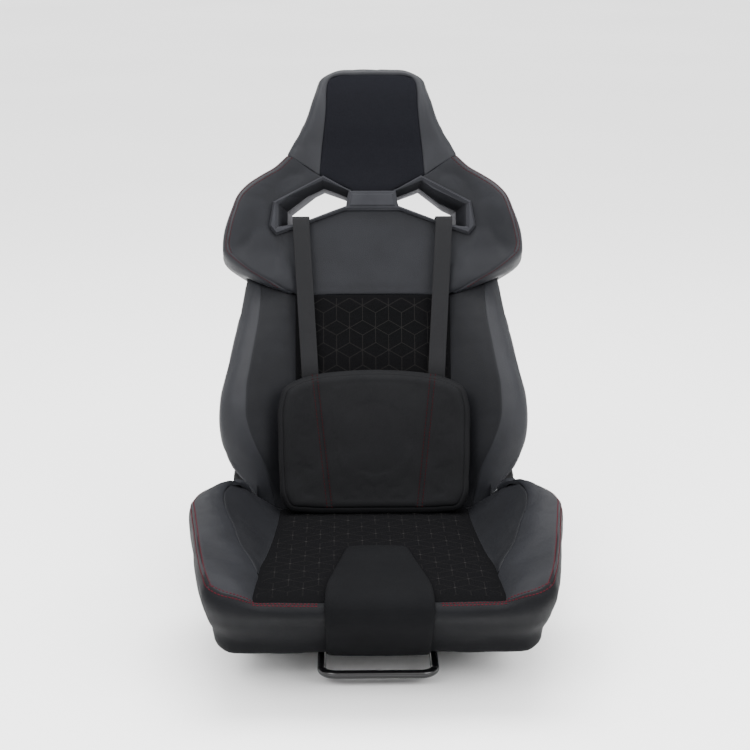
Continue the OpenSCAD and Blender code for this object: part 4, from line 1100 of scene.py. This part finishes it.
def pillow():
    n = 300
    th = np.linspace(0, 1, n, endpoint=False)
    O = FRONT_OUT(th)
    cu = 90.0
    low = sm((-O[:, 1] + 40) / 60)
    wb = np.where(np.abs(O[:, 0]) > 118, 50 + 24 * np.clip((np.abs(O[:, 0]) - 118) / 36, 0, 1), 50.0)
    wb = np.maximum(wb, 50 + 22 * low) + 1.0
    wb = np.maximum(wb, 58.0)
    wf = np.full(n, 93.0) + 4 * low
    rings, kinds = [], []
    ctr = np.array([0, cu])
    for k in np.linspace(0.03, 0.72, 20):
        p = ctr + (O - ctr) * k
        rings.append(np.stack([p[:, 0], p[:, 1], np.full(n, 50.6)], 1))
    for k in (0.78, 0.84, 0.9, 0.95, 0.985, 1.0):
        p = ctr + (O - ctr) * k
        f = sm((k - 0.72) / 0.28)
        back_w = np.where(np.abs(p[:, 0]) > 116, 50.6 + 24 * np.clip((np.abs(p[:, 0]) - 116) / 38, 0, 1), 50.6)
        low_k = sm((-p[:, 1] + 12) / 36)
        back_w = np.maximum(back_w, 50.6 + 26 * low_k)
        rings.append(np.stack([p[:, 0], p[:, 1], np.maximum(back_w, lerp(50.6, wb, f))], 1))
    last = rings[-1][:, 2]
    nrm = np.roll(O, -1, 0) - np.roll(O, 1, 0)
    nrm = np.stack([-nrm[:, 1], nrm[:, 0]], 1)
    nrm /= np.linalg.norm(nrm, axis=1)[:, None]
    if (nrm * (O - ctr)).sum() < 0:
        nrm = -nrm
    for g in (0.04, 0.10, 0.2, 0.32, 0.45, 0.58, 0.7, 0.8, 0.88, 0.94, 0.98, 1.0):
        out = (2.4 * math.sin(math.pi * min(1, g / 0.9)) ** 0.5 if g < 0.9 else 0) - 1.0 - 7.0 * max(0, (g - 0.5) / 0.5) ** 2.2
        p = O + nrm * out
        rings.append(np.stack([p[:, 0], p[:, 1], lerp(last, wf + 3.5, g ** 0.9) - 1.6 * max(0, (g - 0.94) / 0.06)], 1))
    gus = len(rings) - 1
    ks = list(1 - np.array([0.006, 0.016, 0.03, 0.05, 0.075])) + list(np.linspace(0.91, 0.03, 56))
    for k in ks:
        p = ctr + (O - nrm * 8.0 - ctr) * k
        e = 1 - k
        rise = 6.5 * np.sqrt(np.clip(1 - (1 - np.clip(e / 0.09, 0, 1)) ** 2, 0, 1)) + 4.5 * sm(e / 0.8)
        w = 95.0 + 4 * low * k ** 4 + rise
        line = lin((-31, 72), (199, 97))(p[:, 1])
        groove = 2.6 * np.exp(-((np.abs(p[:, 0]) - line) / 4.2) ** 2) * sm(e / 0.05)
        rings.append(np.stack([p[:, 0], p[:, 1], w - groove], 1))
    m = len(rings)
    V = [B(r[:, 0], r[:, 1], r[:, 2]) for r in rings]
    V = np.concatenate(V + [B([0], [cu], [50.6]), B([0], [cu], [rings[-1][:, 2].mean()])])
    F = []
    for i in range(m - 1):
        for j in range(n):
            F.append([i * n + j, i * n + (j + 1) % n, (i + 1) * n + (j + 1) % n, (i + 1) * n + j])
    b, f = m * n, m * n + 1
    for j in range(n):
        F.append([b, (j + 1) % n, j])
        F.append([f, (m - 1) * n + j, (m - 1) * n + (j + 1) % n])
    a0 = V[F[200][1]] - V[F[200][0]]
    P0 = np.array([V[i] for i in F[len(F) - 1]])
    nn = np.cross(P0[1] - P0[0], P0[2] - P0[0])
    if nn[1] > 0:
        F = [g[::-1] for g in F]
    ob = make("lumbar_pillow_cover", m_(V), F, M["pillow_leatherette"], None, True, 70)
    # cloth: the stuffed face swells between its seams
    nv = len(V)
    x, u, w = to_local(V)
    line = lin((-31, 72), (199, 97))(u)
    ring_i = np.minimum(np.arange(nv) // n, m - 1)
    free = sm((ring_i - gus - 3) / 8.0) * sm((np.abs(np.abs(x) - line) - 6.5) / 16.0) * sm((np.hypot(x, u - cu) - 12) / 60.0)
    pin = 1 - free
    vg = ob.vertex_groups.new(name="pin")
    q = np.round(pin, 2)
    for wv in np.unique(q):
        vg.add([int(i) for i in np.nonzero(q == wv)[0]], float(wv), "REPLACE")
    md = ob.modifiers.new("cloth", "CLOTH")
    c = md.settings
    c.quality = 6
    c.mass = 0.2
    c.tension_stiffness = c.compression_stiffness = 9
    c.shear_stiffness = 4
    c.bending_stiffness = 3.0
    c.shrink_min = -0.002
    c.use_pressure = True
    c.uniform_pressure_force = 1.4
    c.vertex_group_mass = "pin"
    c.effector_weights.gravity = 0.0
    md.collision_settings.use_collision = False
    md.point_cache.frame_start, md.point_cache.frame_end = 1, 18
    for fr in range(1, 19):
        scene.frame_set(fr)
    ev = ob.evaluated_get(bpy.context.evaluated_depsgraph_get())
    co = np.empty(nv * 3, np.float32)
    ev.data.vertices.foreach_get("co", co)
    rest = np.empty(nv * 3, np.float32)
    ob.data.vertices.foreach_get("co", rest)
    co, rest = co.reshape(-1, 3).astype(float), rest.reshape(-1, 3).astype(float)
    ob.modifiers.remove(md)
    ob.vertex_groups.clear()
    scene.frame_set(1)
    d = co - rest
    d[~np.isfinite(d).all(1)] = 0
    L = np.linalg.norm(d, axis=1)
    lim = 0.0008
    k = np.where(L > 1e-9, lim * np.tanh(L / lim) / np.maximum(L, 1e-9), 0)
    ob.data.vertices.foreach_set("co", (rest + d * (k * free)[:, None]).astype(np.float32).ravel())
    ob.data.update()
    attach(ob, "lumbar_pillow")
    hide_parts("lumbar_pillow")
    return ob


pillow_ob = pillow()

# ------------------------------------------------------------------ straps
ROUTE = [(55.6, 192.0), (57.0, 199.0), (57.6, 206), (56.2, 250), (55.2, 330), (54.6, 430), (53.6, 452), (52.6, 458.5), (50.2, 461.8), (45, 462.6), (0, 462.6), (-48, 462.4), (-52.6, 461.4), (-55.4, 458), (-56.6, 450), (-56.6, 400), (-56.6, 344)]


def strap(s, n):
    route = curve([(w, u) for w, u in ROUTE])
    L = np.linalg.norm(np.diff(np.array(ROUTE), axis=0), axis=1).sum()
    q = np.linspace(0, 1, 170)
    p = route(q)
    d = np.gradient(p, axis=0)
    d /= np.linalg.norm(d, axis=1)[:, None]
    nrm = np.stack([d[:, 1], -d[:, 0]], 1)
    xc = np.where(p[:, 0] > 49, np.interp(p[:, 1], [199, 455], [104.5, 119.5]), 119.0)
    xc = np.convolve(np.pad(xc, 4, mode="edge"), np.ones(9) / 9, "valid")
    prof = []
    h, t = 14.0, 0.85
    for a in np.linspace(-h + t, h - t, 7):
        prof.append((a, t))
    for an in (60, 30, 0, -30, -60):
        prof.append((h - t + t * math.cos(math.radians(an)), t * math.sin(math.radians(an))))
    for a in np.linspace(h - t, -h + t, 7):
        prof.append((a, -t))
    for an in (-120, -150, 180, 150, 120):
        prof.append((-h + t + t * math.cos(math.radians(an)), t * math.sin(math.radians(an))))
    V = []
    for i in range(len(p)):
        for a, b in prof:
            V.append(B(s * (xc[i] + a), p[i, 1] + nrm[i, 1] * b, p[i, 0] + nrm[i, 0] * b))
    k = len(prof)
    F = []
    for i in range(len(p) - 1):
        for j in range(k):
            F.append([i * k + j, i * k + (j + 1) % k, (i + 1) * k + (j + 1) % k, (i + 1) * k + j])
    F.append([j for j in range(k)][::-1])
    F.append([(len(p) - 1) * k + j for j in range(k)])
    V = np.array(V)
    ctr = B(s * xc[60], p[60, 1], p[60, 0])
    f = F[60 * k]
    nn = np.cross(V[f[1]] - V[f[0]], V[f[3]] - V[f[0]])
    if (nn * (V[f[0]] - ctr)).sum() < 0:
        F = [g[::-1] for g in F]
    ob = make("lumbar_strap_web_" + n, m_(V), F, M["webbing"], None, True, 50)
    m_(B(s * 105, 206, 57))
    m_(B(s * 118, 440, 54.5))
    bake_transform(ob)
    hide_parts("lumbar_strap_" + n)
    return ob


sides(strap)

# ------------------------------------------------------------------ cloth
for pn, pr, sh, cap in ((insert, 2.0, -0.008, 1.2), (centre, 2.2, -0.010, 1.8), (yoke, 1.0, -0.003, 0.7)):
    settle(pn, pr, sh, cap)
for n in ("left", "right"):
    settle(lower[n][0], 1.6, -0.008, 1.2)
    settle(lower[n][1], 1.2, -0.005, 0.8)
    settle(cushion[n][0], 1.4, -0.007, 1.2)
    settle(cushion[n][1], 1.6, -0.006, 1.2)
settle(boxing, 1.2, -0.004, 0.8)
settle(head_side, 1.5, -0.01, 1.5)

# ------------------------------------------------------------------ printed pattern
seg, dots = cube_lattice(-129, 129, -20, 334, 43.3, 26.0, 14.0)


def at_insert(a, b):
    return B(a, b, float(mid_w(b))), np.array(FWD)


ribbons("backrest_insert_print", tree(insert.obj), seg, at_insert, lambda a, b: abs(a) < 124 and -20 < b < 330.5, M["pattern"], "backrest", 0.9, 0.1)

seg, dots = cube_lattice(-185, 185, -305, 140, 43.3, 0.0, -10.0)


def at_centre(a, b):
    return np.array([a, b, float(top_z(b))]), np.array([0, 0, 1.0])


ribbons("cushion_centre_print", tree(centre.obj), seg, at_centre,
        lambda a, b: abs(a) < float(edge_x(b)) - 8 and -300 < b < 120 and not (abs(a) < 78 and b < -80 and abs(a) < np.interp(-b, [80, 150, 219, 285], [46, 57, 69, 80])), M["pattern_seat"], "seat_base", 0.9, 0.1)
ribbons("cushion_centre_print_dots", tree(centre.obj), [], at_centre,
        lambda a, b: abs(a) < float(edge_x(b)) - 8 and -300 < b < 120 and not (abs(a) < 80 and b < -76 and abs(a) < np.interp(-b, [76, 150, 219, 285], [49, 60, 72, 82])), M["pattern_dot"], "seat_base", 0.9, 0.1, 0.5,
        dots, 1.7)

# ------------------------------------------------------------------ stitching
rows_red, rows_dark, rows_seat = [], [], []
for n, s in (("left", -1), ("right", 1)):
    top, inner = cushion[n][1], cushion[n][0]
    tt = tree(top.obj)
    for e in (3, 0):
        P, N = edge_line(top, e, 4.2)
        rows_seat.append((tt, P, N))
    tr = tree(rims[n].obj)
    P, N = edge_line(rims[n], 2, 3.8)
    rows_red.append((tr, P[4:], N[4:]))
ty = tree(yoke.obj)
for e in (2, 3):
    P, N = edge_line(yoke, e, 3.6)
    rows_red.append((ty, P, N))
tb = tree(boxing.obj)
P, N = edge_line(boxing, 2, 4.6)
ok = np.abs(P[:, 0]) > 84
i0 = int(np.argmax(~ok))
i1 = len(ok) - int(np.argmax(~ok[::-1]))
rows_seat.append((tb, P[:i0], N[:i0]))
rows_seat.append((tb, P[i1:], N[i1:]))
P, N = edge_line(boxing, 2, 9.2)
c = (np.abs(P[:, 0]) > 84) & (np.abs(P[:, 0]) < 184) & (P[:, 1] < -280)
for side in (P[:, 0] < 0, P[:, 0] > 0):
    rows_seat.append((tb, P[c & side], N[c & side]))
stitches("shoulder_stitching", rows_red, M["thread_red"], "backrest")
stitches("cushion_stitching", rows_seat, M["thread_seat"], "seat_base", 5.2, 4.2, 0.75)
tp = tree(pillow_ob)
rows = []
for s in (-1, 1):
    for o in (-4.0, 4.0):
        u = np.linspace(-24, 194, 60)
        x = s * (lin((-31, 72), (199, 97))(u) + o)
        P = B(x, u, 108)
        rows.append((tp, P, np.tile(np.array(FWD), (60, 1))))
stitches("pillow_stitching", rows, M["thread_dark"], "lumbar_pillow", 5.2, 3.9, 0.5)

# ------------------------------------------------------------------ floor, light, camera
me = bpy.data.meshes.new("floor")
me.from_pydata([(-30, -30, 0), (30, -30, 0), (30, 30, 0), (-30, 30, 0)], [], [(0, 1, 2, 3)])
floor = bpy.data.objects.new("floor", me)
floor.location = (0, 0, -0.0005)
scene.collection.objects.link(floor)
fm, fnt, fp, ftc = _nodes("floor")
fnt.links.new(_ramp(fnt, _noise(fnt, ftc.outputs["Object"], 0.5, 2.0), (0.86, 0.86, 0.86), (0.9, 0.9, 0.9)), fp.inputs["Base Color"])
fp.inputs["Roughness"].default_value = 0.9
me.materials.append(fm)

world = bpy.data.worlds.new("studio")
scene.world = world
world.use_nodes = True
bg = world.node_tree.nodes["Background"]
bg.inputs[0].default_value = (1, 1, 1, 1)
wt = world.node_tree
wc = wt.nodes.new("ShaderNodeTexCoord")
ws = wt.nodes.new("ShaderNodeSeparateXYZ")
wr = wt.nodes.new("ShaderNodeMapRange")
wr.inputs["From Min"].default_value = -0.1
wr.inputs["From Max"].default_value = 0.9
wr.inputs["To Min"].default_value = 0.7
wr.inputs["To Max"].default_value = 3.2
wt.links.new(wc.outputs["Generated"], ws.inputs[0])
wt.links.new(ws.outputs[2], wr.inputs["Value"])
wt.links.new(wr.outputs[0], bg.inputs[1])


def area(name, loc, target, size, power):
    L = bpy.data.lights.new(name, "AREA")
    L.shape = "RECTANGLE"
    L.size, L.size_y = size
    L.energy = power
    o = bpy.data.objects.new(name, L)
    o.location = loc
    o.rotation_euler = (Vector(target) - Vector(loc)).to_track_quat("-Z", "Y").to_euler()
    scene.collection.objects.link(o)
    return o


area("key", (-1.6, -2.2, 2.6), (0, 0, 0.4), (1.6, 1.6), 85)
area("fill", (2.0, -1.8, 1.9), (0, 0, 0.4), (1.8, 1.8), 75)
area("top", (0, 0.3, 3.2), (0, 0, 0.3), (2.2, 1.8), 150)

cam = bpy.data.cameras.new("camera")
cam.sensor_width = 36
cam.lens = 1850 * 36 / 750
co = bpy.data.objects.new("camera", cam)
scene.collection.objects.link(co)
AZ, EL, D = math.radians(-1.0), math.radians(15.0), 2900.0
T = np.array([0, 60.0, 395.0])
back = np.array([math.sin(AZ) * math.cos(EL), -math.cos(AZ) * math.cos(EL), math.sin(EL)])
co.location = Vector(m_(T + back * D))
co.rotation_euler = Vector(-back).to_track_quat("-Z", "Y").to_euler()
cam.clip_end = 100
scene.camera = co
